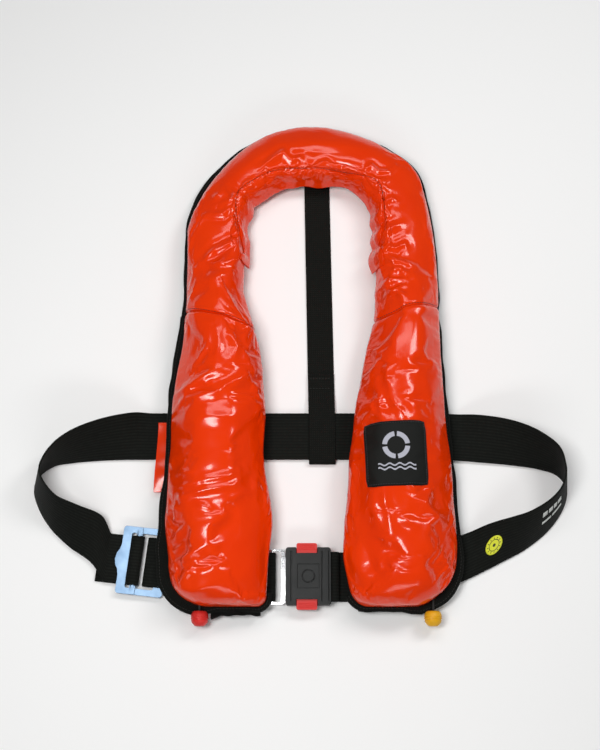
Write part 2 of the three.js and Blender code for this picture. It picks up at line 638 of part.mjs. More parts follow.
// ---- buckle ----
function addBuckle() {
  const [x0, x1] = [BUCKLE_X0, BUCKLE_X0 + BUCKLE_LENGTH];
  const y0 = BUCKLE_AT.y - BUCKLE_WIDTH / 2;
  const y1 = BUCKLE_AT.y + BUCKLE_WIDTH / 2;
  const split = BUCKLE_BOTTOM + BUCKLE_WALL;
  const ceiling = BUCKLE_TOP - BUCKLE_WALL;
  const outline = roundedRectangle(x0, y0, x1, y1, 3);
  const [low, high] = [TONGUE_Z - TONGUE_THICKNESS / 2, TONGUE_Z + TONGUE_THICKNESS / 2];
  const buttonX0 = BUCKLE_AT.x - 12;
  const buttonX1 = buttonX0 + BUTTON_LENGTH;
  const pawlZ = high + GAP;
  const buttonZ = pawlZ + PAWL_THICKNESS + GAP;
  const notch = (from, to) =>
    box([buttonX0 - GAP, from, pawlZ - GAP], [buttonX1 + GAP, to, BUCKLE_TOP + 1]);
  const cavity = box(
    [x0 + BUCKLE_WALL, y0 + BUCKLE_WALL, split - 1],
    [x1 - BUCKLE_WALL, y1 - BUCKLE_WALL, ceiling],
  );
  const half = WEBBING_WIDTH / 2 + 2 * GAP;
  const webbingMouth = box(
    [x1 - BUCKLE_WALL - 1, BUCKLE_AT.y - half, split - 1],
    [x1 + 1, BUCKLE_AT.y + half, 2 * BUCKLE_BAR_Z - FRONT_Z + WEBBING_THICKNESS / 2 + GAP],
  );
  const tongueMouth = box(
    [x0 - 1, BUCKLE_AT.y - TONGUE_HALF - GAP, split - 1],
    [x0 + BUCKLE_WALL + 1, BUCKLE_AT.y + TONGUE_HALF + GAP, high + GAP],
  );
  const recess = box(
    [BUCKLE_AT.x - 11, BUCKLE_AT.y - 12, BUCKLE_TOP - 0.8],
    [BUCKLE_AT.x + 11, BUCKLE_AT.y + 12, BUCKLE_TOP + 1],
  );
  const front = cut(
    plate(outline, split + GAP, BUCKLE_TOP),
    cavity,
    webbingMouth,
    tongueMouth,
    recess,
    notch(y1 - BUTTON_NOTCH, y1 + 1),
    notch(y0 - 1, y0 + BUTTON_NOTCH),
  );
  place("buckle_front_shell", front, BLACK_PLASTIC);
  place("buckle_rear_shell", plate(outline, BUCKLE_BOTTOM, split), BLACK_PLASTIC);
  const barEnd = (y) => v3(BUCKLE_BAR_X, y, BUCKLE_BAR_Z);
  const bar = rod(
    barEnd(y0 + BUCKLE_WALL + GAP),
    barEnd(y1 - BUCKLE_WALL - GAP),
    BUCKLE_BAR_RADIUS,
    10,
  );
  place("buckle_webbing_bar", bar, STEEL);

  for (const [name, side, edge] of [
    ["top", 1, y1],
    ["bottom", -1, y0],
  ]) {
    // y of a place this far inside the shells' edge, and the two in rising order
    const inside = (depth) => edge - side * depth;
    const rising = (a, b) => [Math.min(a, b), Math.max(a, b)];
    const [b0, b1] = rising(inside(-BUTTON_PROUD), inside(BUTTON_DEPTH));
    const button = roundedRectangle(buttonX0, b0, buttonX1, b1, 2);
    place(`release_button_${name}`, plate(button, buttonZ, ceiling - GAP), RED_PLASTIC);
    const [p0, p1] = rising(inside(BUTTON_DEPTH - 5), inside(BUTTON_DEPTH + 5.5));
    const pawl = box([buttonX0 + 2, p0, pawlZ], [buttonX1 - 2, p1, pawlZ + PAWL_THICKNESS]);
    place(`latch_pawl_${name}`, pawl, STEEL);
    const ribFace = BUCKLE_AT.y + side * (SPRING_RIB + GAP);
    const spring = coil(
      BUCKLE_AT.x - 1.5,
      inside(BUTTON_DEPTH + GAP),
      ribFace,
      (buttonZ + ceiling) / 2,
    );
    place(`button_spring_${name}`, spring, STEEL);
  }
  const rib = box(
    [buttonX0 + 2, BUCKLE_AT.y - SPRING_RIB, buttonZ],
    [buttonX1 - 2, BUCKLE_AT.y + SPRING_RIB, ceiling - GAP],
  );
  place("spring_rib", rib, BLACK_PLASTIC);

  const [r0, r1] = [x0 - GAP - RING_LENGTH, x0 - GAP];
  const ring = roundedRectangle(r0, y0 + 1, r1, y1 - 1, 4);
  ring.holes.push(
    roundedRectangle(r0 + RING_RAIL, BUCKLE_AT.y - half, r1 - RING_RAIL, BUCKLE_AT.y + half, 1.5),
  );
  const blade = roundedRectangle(
    x0 - 3,
    BUCKLE_AT.y - TONGUE_HALF,
    BUCKLE_AT.x + 7,
    BUCKLE_AT.y + TONGUE_HALF,
    2,
  );
  place("buckle_tongue", join(plate(ring, low, high), plate(blade, low, high, 2)), STEEL);
}

// A compression spring along Y, its wire 0.8 mm.
function coil(x, y0, y1, z) {
  const turns = 4;
  const radius = 1.8;
  const points = Array.from({ length: turns * 8 + 1 }, (_, k) => {
    const a = (k / 8) * 2 * Math.PI;
    const y = y0 + ((y1 - y0) * k) / (turns * 8);
    return v3(x + radius * Math.cos(a), y, z + radius * Math.sin(a));
  });
  const wire = new THREE.Shape(
    arc(0, 0, 0.4, 0, 300, 5).map(([px, py]) => new THREE.Vector2(px, py)),
  );
  return new THREE.ExtrudeGeometry(wire, {
    extrudePath: new THREE.CatmullRomCurve3(points),
    steps: turns * 8,
    bevelEnabled: false,
  });
}

// ---- adjuster ----
function addAdjuster() {
  const adjuster = new THREE.Group();
  adjuster.position.copy(ADJUSTER_AT);
  adjuster.rotation.z = ADJUSTER_TURN;
  group.add(adjuster);
  const half = ADJUSTER_WIDTH / 2;
  const [left, right] = [ADJUSTER_LEFT, ADJUSTER_RIGHT];
  const frame = new THREE.Shape();
  frame.moveTo(left + 3, -half).lineTo(right - 3, -half);
  frame.absarc(right - 3, -half + 3, 3, -Math.PI / 2, 0);
  frame.lineTo(right, half - 3).absarc(right - 3, half - 3, 3, 0, Math.PI / 2);
  frame.lineTo(left + 3, half).absarc(left + 3, half - 3, 3, Math.PI / 2, Math.PI);
  frame.lineTo(left, 16).bezierCurveTo(left, 8, left - 5, 9, left - 5, 0);
  frame.bezierCurveTo(left - 5, -9, left, -8, left, -16);
  frame.lineTo(left, -half + 3).absarc(left + 3, -half + 3, 3, Math.PI, 1.5 * Math.PI);
  const inside = half - ADJUSTER_RAIL;
  frame.holes.push(roundedRectangle(ADJUSTER_WINDOW_LEFT, -inside, ADJUSTER_WINDOW_RIGHT, inside, 2));
  const low = ADJUSTER_PLATE_Z - ADJUSTER_THICKNESS / 2;
  place("adjuster_frame", plate(frame, low, low + ADJUSTER_THICKNESS), STEEL, adjuster);
  const reach = inside - GAP;
  const bar = rod(
    v3(ADJUSTER_BAR_AT, -reach, ADJUSTER_PLATE_Z),
    v3(ADJUSTER_BAR_AT, reach, ADJUSTER_PLATE_Z),
    ADJUSTER_BAR_RADIUS,
    14,
  );
  // Flat ears on the bar's ends ride on top of the rails and keep it in the frame.
  const onRail = low + ADJUSTER_THICKNESS + GAP;
  const ear = (from, to) =>
    box([ADJUSTER_BAR_AT - 3, from, onRail], [ADJUSTER_BAR_AT + 3, to, onRail + 1.6]);
  const inner = WEBBING_WIDTH / 2 + 0.8;
  const ends = [ear(-half + 0.5, -inner), ear(inner, half - 0.5)];
  place("adjuster_bar", join(bar, ...ends), STEEL, adjuster);
}

// ---- inflators, inside the lobes ----
// Each lever turns about a pin on the lobe's inner side, inward being +X on the left lobe.
function addInflator(side, x, inward, knobMaterial) {
  const bodyY0 = LOBE_END + INFLATOR_FROM_END;
  const bodyY1 = bodyY0 + INFLATOR_LENGTH;
  const z = CORD_Z;
  const seat = RIM_LOBE + GAP;
  const pivot = v3(x + inward * (LEVER_LENGTH - 2), bodyY0 - 6, z);
  const along = (from, to) => [pivot.clone().setZ(from), pivot.clone().setZ(to)];
  const ear = (low, high) =>
    box([pivot.x - EAR_HALF, pivot.y - EAR_HALF, low], [pivot.x + EAR_HALF, bodyY0 + 1, high]);
  const half = INFLATOR_WIDTH / 2;
  const leverHalf = LEVER_THICKNESS / 2;
  const earGap = leverHalf + GAP;
  const pinHole = rod(...along(z - 8, z + 8), PIN_RADIUS + PIN_CLEARANCE, 10);
  const body = join(
    box([x - half, bodyY0, seat], [x + half, bodyY1, z + 8]),
    rod(v3(x, bodyY1 - 1, z), v3(x, bodyY1 + NECK_LENGTH, z), NECK_RADIUS, 16),
    ear(z - earGap - EAR_THICKNESS, z - earGap),
    ear(z + earGap, z + earGap + EAR_THICKNESS),
  );
  place(`inflator_body_${side}`, cut(body, pinHole), BLACK_PLASTIC);
  const cylinder = turned([
    [0, 0],
    [4, 0],
    [4.5, 6],
    [CYLINDER_RADIUS, 14],
    [CYLINDER_RADIUS, CYLINDER_LENGTH - 5],
    [CYLINDER_RADIUS - 3, CYLINDER_LENGTH - 0.8],
    [0, CYLINDER_LENGTH],
  ]).translate(x, bodyY1 + NECK_LENGTH + GAP, z);
  place(`gas_cylinder_${side}`, cylinder, GREEN_STEEL);
  const tip = pivot.x - inward * LEVER_LENGTH;
  const arm = box(
    [Math.min(tip, pivot.x), pivot.y - LEVER_HALF, z - leverHalf],
    [Math.max(tip, pivot.x), pivot.y + LEVER_HALF, z + leverHalf],
  );
  const lever = join(rod(...along(z - leverHalf, z + leverHalf), LEVER_HUB_RADIUS, 12), arm);
  place(`inflator_lever_${side}`, cut(lever, pinHole), YELLOW_PLASTIC);
  const pinHalf = earGap + EAR_THICKNESS;
  const pin = rod(...along(z - pinHalf, z + pinHalf), PIN_RADIUS, 10);
  place(`lever_pin_${side}`, pin, STEEL);

  const knobTop = LOBE_END - KNOB_HANG;
  const knob = turned(
    [
      [0, -KNOB_LENGTH],
      [5.5, 1 - KNOB_LENGTH],
      [8.4, 5 - KNOB_LENGTH],
      [KNOB_RADIUS, -6],
      [7.6, -2.5],
      [4, 0],
      [0, 0],
    ],
    14,
  ).translate(x, knobTop, KNOB_Z);
  place(`pull_knob_${side}`, knob, knobMaterial);
  const cordLine = new THREE.CatmullRomCurve3([
    v3(x, pivot.y - LEVER_HALF - GAP, CORD_Z),
    v3(x, LOBE_END + 5, CORD_Z),
    v3(x, LOBE_END - 1.5, CORD_Z - 0.2),
    v3(x, knobTop + GAP + 0.3, KNOB_Z + 4),
  ]);
  const section = new THREE.Shape(
    arc(0, 0, CORD_RADIUS, 0, 315, 7).map(([px, py]) => new THREE.Vector2(px, py)),
  );
  const cord = new THREE.ExtrudeGeometry(section, {
    extrudePath: cordLine,
    steps: 8,
    bevelEnabled: false,
  });
  place(`pull_cord_${side}`, cord, BLACK_WEBBING);
}

// The mouth tube ends in a valve under a cap, which pulls off towards the lobe's end.
function addOralTube() {
  const [x, y, z] = [-98, 10, RIM_LOBE + ORAL_CAP_RADIUS + GAP];
  const along = (from, to, radius) => rod(v3(x, y + from, z), v3(x, y + to, z), radius, 14);
  const capMouth = -ORAL_VALVE_LENGTH / 2; // the cap reaches half way over the valve
  place("oral_tube", along(0, ORAL_TUBE_LENGTH, ORAL_TUBE_RADIUS), RUBBER);
  const valve = along(-ORAL_VALVE_LENGTH, -GAP, ORAL_VALVE_RADIUS);
  place("oral_valve_body", valve, BLACK_PLASTIC);
  const cap = cut(
    along(capMouth - ORAL_CAP_LENGTH, capMouth, ORAL_CAP_RADIUS),
    along(-ORAL_VALVE_LENGTH - GAP, 0, ORAL_VALVE_RADIUS + 0.4),
  );
  place("oral_valve_cap", cap, RUBBER);
}

function addWhistle() {
  const [x, y, z] = [78, 20, RIM_LOBE + GAP + WHISTLE[2] / 2];
  const [halfWidth, halfHeight] = [WHISTLE[0] / 2, WHISTLE[2] / 2];
  const bore = halfWidth - WHISTLE_WALL;
  const body = cut(
    box([x - halfWidth, y, z - halfHeight], [x + halfWidth, y + WHISTLE[1], z + halfHeight]),
    box([x - bore, y - 1, z - 2], [x + bore, y + WHISTLE[1] - 11, z + 2]),
    box([x - bore + 0.5, y + 20, z + 1], [x + bore - 0.5, y + 25, z + halfHeight + 2]),
  );
  place("whistle", body, YELLOW_PLASTIC);
}

// ---- labels ----
function addLabels() {
  const patchAt = stationAt(22.75);
  const top = patchAt.top + GAP + 0.2;
  const patch = plate(
    roundedRectangle(-PATCH[0] / 2, -PATCH[1] / 2, PATCH[0] / 2, PATCH[1] / 2, 2),
    top,
    top + PATCH_THICKNESS,
  ).rotateZ(THREE.MathUtils.degToRad(2));
  place("label_patch", patch.translate(70, -30, 0), BLACK_FABRIC);
  // The sticker is a thin disc that follows the webbing's twist.
  const sticker = new THREE.CylinderGeometry(STICKER_RADIUS, STICKER_RADIUS, STICKER_THICKNESS, 24);
  const frameAt = ribbonFrames(BELT_ROWS);
  const at = sticker.getAttribute("position");
  for (let i = 0; i < at.count; i++) {
    const { from, width, face } = frameAt(STICKER_ROW + at.getX(i) / STICKER_ROW_LENGTH);
    const lift = WEBBING_THICKNESS / 2 + STICKER_GAP + at.getY(i);
    from.addScaledVector(width, WEBBING_WIDTH / 2 - at.getZ(i)).addScaledVector(face, lift);
    at.setXYZ(i, from.x, from.y, from.z);
  }
  place("inspection_sticker", sticker, YELLOW_LABEL);
}

addCovers();
addBladder();
addBelt();
addStraps();
addTunnels();
addBuckle();
addAdjuster();
addInflator("left", RED_KNOB_X, 1, RED_PLASTIC);
addInflator("right", YELLOW_KNOB_X, -1, YELLOW_PLASTIC);
addOralTube();
addWhistle();
addLabels();

export default group;
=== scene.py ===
"""Automatic inflatable life jacket: a glossy PVC horseshoe cover over a folded bladder, black
edging, a webbing waist belt with a push-button buckle and a steel adjuster. Metres, +Z up."""

import math

import bmesh
import bpy
import numpy as np
from mathutils import Matrix, Vector
from mathutils.bvhtree import BVHTree


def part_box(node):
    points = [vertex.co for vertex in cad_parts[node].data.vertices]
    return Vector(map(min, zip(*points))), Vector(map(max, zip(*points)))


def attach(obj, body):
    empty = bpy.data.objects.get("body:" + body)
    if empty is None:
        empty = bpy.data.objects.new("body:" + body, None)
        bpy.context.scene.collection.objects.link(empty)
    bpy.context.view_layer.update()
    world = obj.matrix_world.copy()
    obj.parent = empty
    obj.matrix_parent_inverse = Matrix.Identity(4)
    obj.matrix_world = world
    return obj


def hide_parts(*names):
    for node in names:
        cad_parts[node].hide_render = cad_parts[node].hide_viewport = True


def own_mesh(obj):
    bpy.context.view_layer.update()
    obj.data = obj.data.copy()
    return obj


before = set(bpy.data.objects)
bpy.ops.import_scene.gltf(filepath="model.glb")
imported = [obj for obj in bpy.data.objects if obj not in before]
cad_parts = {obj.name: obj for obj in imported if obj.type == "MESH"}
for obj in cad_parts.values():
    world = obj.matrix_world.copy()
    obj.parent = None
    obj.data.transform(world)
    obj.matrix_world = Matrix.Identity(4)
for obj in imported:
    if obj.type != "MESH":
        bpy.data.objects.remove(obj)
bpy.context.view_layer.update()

bl_info = {
    "name": "Inflatable life jacket",
    "version": (1, 0, 0),
    "blender": (4, 5, 0),
    "location": "3D View > Sidebar > Life jacket",
    "description": "Builds the cover, webbing, buckle and stage of a life jacket",
    "category": "Object",
}

# ---- the horseshoe ----
# Outer edge x, y, inner edge x, y, and how far the black edging stands out, from the end of the
# left lobe round the neck to the end of the right lobe.
STATIONS = [
    (-0.150, -0.178, -0.061, -0.178, 0.012),
    (-0.158, -0.140, -0.060, -0.140, 0.012),
    (-0.162, -0.085, -0.057, -0.088, 0.008),
    (-0.160, -0.025, -0.061, -0.030, 0.005),
    (-0.158, 0.035, -0.064, 0.035, 0.006),
    (-0.151, 0.080, -0.068, 0.078, 0.008),
    (-0.148, 0.128, -0.072, 0.108, 0.005),
    (-0.148, 0.180, -0.086, 0.155, 0.004),
    (-0.146, 0.232, -0.085, 0.200, 0.005),
    (-0.133, 0.268, -0.085, 0.232, 0.008),
    (-0.110, 0.300, -0.080, 0.256, 0.008),
    (-0.078, 0.330, -0.064, 0.270, 0.005),
    (-0.040, 0.345, -0.038, 0.277, 0.003),
    (0.000, 0.348, -0.006, 0.282, 0.0025),
    (0.038, 0.338, 0.022, 0.281, 0.003),
    (0.072, 0.320, 0.040, 0.272, 0.006),
    (0.098, 0.298, 0.051, 0.256, 0.006),
    (0.111, 0.264, 0.055, 0.234, 0.004),
    (0.119, 0.215, 0.055, 0.200, 0.003),
    (0.121, 0.170, 0.054, 0.160, 0.003),
    (0.120, 0.135, 0.051, 0.119, 0.003),
    (0.121, 0.080, 0.041, 0.074, 0.004),
    (0.124, 0.025, 0.031, 0.022, 0.004),
    (0.128, -0.030, 0.025, -0.032, 0.004),
    (0.130, -0.085, 0.021, -0.088, 0.005),
    (0.130, -0.135, 0.019, -0.138, 0.008),
    (0.121, -0.178, 0.026, -0.178, 0.010),
]
LAST = len(STATIONS) - 1
LEFT_SEAM = 6
RIGHT_SEAM = 20
LOBE_END = -0.178
RIM_LOBE = 0.014
RIM_COLLAR = 0.0048
RIM_DROP = (0.060, 0.200)
SIDE_HEIGHT = 0.012
TUCK = 0.88
DOME_POWER = 2.3
END_ROUNDING = 0.034
CORNER_LEFT = (0.030, 0.010)  # outer and inner corner radius at the end of a lobe
CORNER_RIGHT = (0.036, 0.016)
RING_STEP = 0.003  # between rings of the cover's mesh
DOME_COLUMNS = 60
FLOOR_COLUMNS = 12

# ---- the waist belt ----
# Lower edge x, y, z and the way the width points, x and y as shares of the width.
BELT_Z = 0.003
FRONT_Z = 0.0048
BELT_ROWS = [
    (0.040, -0.172, FRONT_Z, 0, 1),
    (0.092, -0.166, FRONT_Z, 0.1, 0.995),
    (0.138, -0.152, 0.004, 0.13, 0.9915),
    (0.160, -0.142, 0.003, 0.12, 0.95),
    (0.182, -0.131, 0.002, 0.06, 0.82),
    (0.206, -0.118, 0.0015, 0.01, 0.68),
    (0.232, -0.097, 0.0012, -0.08, 0.52),
    (0.248, -0.073, 0.0012, -0.18, 0.32),
    (0.251, -0.054, 0.0012, -0.18, 0.3),
    (0.243, -0.042, 0.0012, -0.1, 0.42),
    (0.224, -0.035, 0.0012, -0.04, 0.62),
    (0.197, -0.031, 0.0016, 0, 0.84),
    (0.164, -0.028, 0.0026, 0, 0.97),
    (0.138, -0.026, BELT_Z, 0, 1),
    (0.112, -0.025, BELT_Z, 0, 1),
    (0.060, -0.025, BELT_Z, 0, 1),
    (0.000, -0.025, BELT_Z, 0, 1),
    (-0.075, -0.025, BELT_Z, 0, 1),
    (-0.150, -0.025, BELT_Z, 0, 1),
    (-0.182, -0.025, BELT_Z, 0, 1),
    (-0.210, -0.025, 0.0018, 0, 0.9),
    (-0.240, -0.026, 0.0012, 0, 0.7),
    (-0.264, -0.028, 0.0012, 0.02, 0.48),
    (-0.285, -0.032, 0.0012, 0.12, 0.25),
    (-0.299, -0.043, 0.0012, 0.22, 0.15),
    (-0.303, -0.058, 0.0012, 0.28, 0.24),
    (-0.297, -0.077, 0.0012, 0.28, 0.38),
    (-0.284, -0.097, 0.0014, 0.25, 0.55),
    (-0.264, -0.116, 0.002, 0.25, 0.78),
    (-0.240, -0.133, 0.003, 0.22, 0.94),
]
WEBBING_WIDTH = 0.050
WEBBING_THICKNESS = 0.0018
GAP = 0.0003
BUCKLE_AT = Vector((-0.018, -0.147, 0))
BUCKLE_BAR_X = -0.001
BUCKLE_BAR_Z = FRONT_Z + 0.002 + GAP + WEBBING_THICKNESS / 2
TONGUE_Z = 0.0068
ADJUSTER_MATRIX = Matrix.Translation((-0.190, -0.131, 0)) @ Matrix.Rotation(
    math.radians(-6.5), 4, "Z"
)
ADJUSTER_PLATE_Z = 0.00575
ADJUSTER_BAR_AT = -0.004
STICKER_ROW = 3.4
STICKER_RADIUS = 0.010
ROW_LENGTH = 0.0252  # of belt from one row to the next beside the sticker
BACK_STRAP_WIDTH = 0.028
PATCH_CENTRE = Vector((0.070, -0.030))
PATCH_TURN = math.radians(2)
PATCH_HALF = (0.031, 0.033)
FACING_FROM, FACING_TO = 7.6, 18.6  # places along the horseshoe
KNURL_LENGTH = 0.0500
KNURL_PITCH = 0.0022
BAR_RADIUS = 0.0035
# Grooves across the buckle's face: from and to along x.
BUCKLE_GROOVES = [(-0.0360, -0.0347), (-0.0048, -0.0036), (0.0024, 0.0031)]
BUTTON_GRIPS = (0.0022, 0.0042, 0.0062)  # from the button's outer edge
# Knob, turned: distance along from its cord and radius.
KNOB_PROFILE = [
    (-0.0150, 0.0030), (-0.0146, 0.0048), (-0.0135, 0.0060), (-0.0115, 0.0078),
    (-0.0100, 0.0084), (-0.0092, 0.0086), (-0.0089, 0.0082), (-0.0082, 0.0082),
    (-0.0079, 0.0089), (-0.0068, 0.0090), (-0.0065, 0.0085), (-0.0058, 0.0085),
    (-0.0055, 0.0089), (-0.0042, 0.0087), (-0.0025, 0.0083), (-0.0008, 0.0076),
    (0.0000, 0.0062),
]


# ---- settings ----
def colour(name, default, description):
    return bpy.props.FloatVectorProperty(
        name=name, description=description, default=default, size=4, min=0, max=1, subtype="COLOR"
    )


def length(name, default, description):
    return bpy.props.FloatProperty(
        name=name, description=description, default=default, min=0, unit="LENGTH", precision=5
    )


def share(name, default, description):
    return bpy.props.FloatProperty(
        name=name, description=description, default=default, min=0, max=1, subtype="FACTOR"
    )


def linear(code):
    """An sRGB hex colour such as EB3C0A as linear RGBA."""
    steps = [int(code[k : k + 2], 16) / 255 for k in (0, 2, 4)]
    return tuple(c / 12.92 if c <= 0.04045 else ((c + 0.055) / 1.055) ** 2.4 for c in steps) + (1,)


class CoverSettings(bpy.types.PropertyGroup):
    crown: length("Crown", 0.046, "Height of the cover over its rim")
    pillow: length("Swell", 0.0048, "The most that the folded bladder pushes the cover out")
    crease_depth: length("Crease depth", 0.0019, "Depth of the hand-placed creases")
    seam_depth: length("Seam depth", 0.0018, "How far a sewn seam is pulled in")
    skin: colour("Skin", linear("F03C00"), "Coated fabric")
    skin_dark: colour("Skin in folds", linear("E63200"), "Coated fabric where it is creased")
    gloss: share("Roughness", 0.14, "Roughness of the coated fabric")


class FabricSettings(bpy.types.PropertyGroup):
    black: colour("Black", linear("0B0D0A"), "Dyed polyester")
    # The paler black is a painted highlight on the raised threads of the weave.
    black_thread_highlight: colour("Black, raised threads", linear("272A26"), "Threads that catch the light")
    rib: length("Rib", 0.0024, "Spacing of the webbing's ribs")
    stitch: length("Stitch", 0.0032, "Length of one stitch")


class HardwareSettings(bpy.types.PropertyGroup):
    edge: length("Edge radius", 0.0009, "Rounding of moulded and pressed edges")
    black: colour("Black acetal", linear("111413"), "Buckle shells")
    red: colour("Red", linear("D5302B"), "Buttons and the left knob")
    yellow: colour("Yellow", linear("E3A91C"), "Right knob")
    zinc: colour("Zinc plating", linear("8FA8C0"), "Adjuster frame and bar")


class StageSettings(bpy.types.PropertyGroup):
    floor: colour("Floor", linear("FAFAF9"), "Pale studio floor")
    distance: length("Camera distance", 1.3, "From the point the camera looks at")
    tilt: bpy.props.FloatProperty(
        name="Elevation", description="Of the camera", default=math.radians(75), subtype="ANGLE"
    )


# ---- curves ----
def curve_points(rows, at):
    """Points of a centripetal Catmull-Rom curve through rows, at places counted in rows."""
    rows = np.asarray(rows, float)
    first = 2 * rows[0] - rows[1]
    last = 2 * rows[-1] - rows[-2]
    padded = np.vstack([first, rows, last])
    at = np.clip(np.asarray(at, float), 0, len(rows) - 1)
    i = np.minimum(at.astype(int), len(rows) - 2)
    w = (at - i)[:, None]
    p0, p1, p2, p3 = (padded[i + k] for k in range(4))
    gap = [np.maximum(np.linalg.norm(b - a, axis=1) ** 0.5, 1e-6)[:, None]
           for a, b in ((p0, p1), (p1, p2), (p2, p3))]
    t1 = gap[1] * ((p1 - p0) / gap[0] - (p2 - p0) / (gap[0] + gap[1]) + (p2 - p1) / gap[1])
    t2 = gap[1] * ((p2 - p1) / gap[1] - (p3 - p1) / (gap[1] + gap[2]) + (p3 - p2) / gap[2])
    return (
        p1
        + t1 * w
        + (3 * (p2 - p1) - 2 * t1 - t2) * w**2
        + (2 * (p1 - p2) + t1 + t2) * w**3
    )


def smooth(low, high, value):
    t = np.clip((value - low) / (high - low), 0, 1)
    return t * t * (3 - 2 * t)


def waves(points, wavelength, seed, count=14):
    """Smooth seeded noise from -1 to 1 of about this wavelength."""
    pick = np.random.default_rng(seed)
    ways = pick.normal(size=(count, points.shape[-1]))
    ways /= np.linalg.norm(ways, axis=1)[:, None]
    rates = 2 * math.pi / (wavelength * pick.uniform(0.75, 1.6, count))
    starts = pick.uniform(0, 2 * math.pi, count)
    return np.sin(points @ (ways * rates[:, None]).T + starts).sum(-1) / math.sqrt(count) / 1.4


# ---- mesh helpers ----
def mesh_piece(name, points, faces, uvs=None):
    data = bpy.data.meshes.new(name)
    data.from_pydata([tuple(p) for p in points], [], faces)
    if uvs is not None:
        layer = data.uv_layers.new(name="cloth")
        loops = np.array([loop.vertex_index for loop in data.loops])
        layer.data.foreach_set("uv", np.asarray(uvs, float)[loops].ravel())
    for face in data.polygons:
        face.use_smooth = True
    piece = bpy.data.objects.new(name, data)
    bpy.context.scene.collection.objects.link(piece)
    return piece


def grid_faces(rows, columns, closed=True):
    faces = []
    for i in range(rows - 1):
        for j in range(columns if closed else columns - 1):
            k = (j + 1) % columns
            a, b = i * columns, (i + 1) * columns
            faces.append((a + j, a + k, b + k, b + j))
    return faces


def tube_piece(name, rings, uvs=None):
    """A closed body through rings of points, its ends closed by a fan."""
    rings = np.asarray(rings, float)
    count, columns = rings.shape[:2]
    points = list(rings.reshape(-1, 3)) + [rings[0].mean(0), rings[-1].mean(0)]
    faces = grid_faces(count, columns)
    first, last = count * columns, count * columns + 1
    for j in range(columns):
        k = (j + 1) % columns
        faces.append((first, k, j))
        faces.append((last, (count - 1) * columns + j, (count - 1) * columns + k))
    if uvs is not None:
        uvs = np.asarray(uvs, float)
        uvs = np.vstack([uvs.reshape(-1, 2), uvs[0].mean(0), uvs[-1].mean(0)])
    piece = mesh_piece(name, points, faces, uvs)
    outward(piece)
    return piece


def outward(piece):
    shape = bmesh.new()
    shape.from_mesh(piece.data)
    bmesh.ops.recalc_face_normals(shape, faces=shape.faces)
    shape.to_mesh(piece.data)
    shape.free()


def only(piece):
    """Deselects everything, then selects this piece and makes it active."""
    if bpy.context.object and bpy.context.object.mode != "OBJECT":
        bpy.ops.object.mode_set(mode="OBJECT")
    bpy.ops.object.select_all(action="DESELECT")
    piece.select_set(True)
    bpy.context.view_layer.objects.active = piece


def apply_modifier(piece, kind, name=None, **settings):
    only(piece)
    modifier = piece.modifiers.new(name or kind.title(), kind)
    for key, value in settings.items():
        setattr(modifier, key, value)
    bpy.ops.object.modifier_apply(modifier=modifier.name)


def coordinates(piece):
    flat = np.empty(len(piece.data.vertices) * 3)
    piece.data.vertices.foreach_get("co", flat)
    return flat.reshape(-1, 3)


def move_to(piece, points):
    piece.data.vertices.foreach_set("co", np.asarray(points, float).ravel())
    piece.data.update()


def belongs(piece, body, material, slot, *nodes):
    piece.data.materials.clear()
    piece.data.materials.append(material)
    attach(piece, body)
    if nodes:
        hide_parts(*nodes)
    return piece


# ---- hard pieces by hand ----
def start_box(name, low, high):
    """A cube primitive at its size and place, its place kept in its mesh."""
    bpy.ops.object.select_all(action="DESELECT")
    low, high = Vector(low), Vector(high)
    bpy.ops.mesh.primitive_cube_add(size=1, location=(low + high) / 2, scale=high - low)
    piece = bpy.context.object
    piece.name = name
    piece.data.name = name
    bpy.ops.object.transform_apply(location=True, rotation=True, scale=True)
    return piece


def cut_planes(piece, axis, places):
    """Cuts across all faces at these places along an axis."""
    only(piece)
    bpy.ops.object.mode_set(mode="EDIT")
    way = Vector((0, 0, 0))
    way[axis] = 1
    for place in places:
        bpy.ops.mesh.select_all(action="SELECT")
        bpy.ops.mesh.bisect(plane_co=way * place, plane_no=way)
    bpy.ops.object.mode_set(mode="OBJECT")


def carve(piece, low, high):
    """Cuts a box out of a piece."""
    cutter = start_box("cutter", low, high)
    apply_modifier(piece, "BOOLEAN", operation="DIFFERENCE", solver="EXACT", object=cutter)
    bpy.data.objects.remove(cutter)


def round_edges(piece, width, segments=3, angle=35):
    apply_modifier(
        piece, "BEVEL", width=width, segments=segments, limit_method="ANGLE",
        angle_limit=math.radians(angle), harden_normals=False,
    )
    bpy.ops.object.shade_smooth_by_angle(angle=math.radians(40))
    apply_modifier(piece, "WEIGHTED_NORMAL", keep_sharp=True)


def node_copy(name, *nodes):
    """A merged copy of CAD nodes, to be finished as a new piece."""
    shape = bmesh.new()
    for node in nodes:
        shape.from_mesh(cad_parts[node].data)
    bmesh.ops.remove_doubles(shape, verts=shape.verts, dist=1e-5)
    bmesh.ops.dissolve_limit(
        shape, angle_limit=math.radians(1), verts=shape.verts, edges=shape.edges
    )
    data = bpy.data.meshes.new(name)
    shape.to_mesh(data)
    shape.free()
    piece = bpy.data.objects.new(name, data)
    bpy.context.scene.collection.objects.link(piece)
    return piece


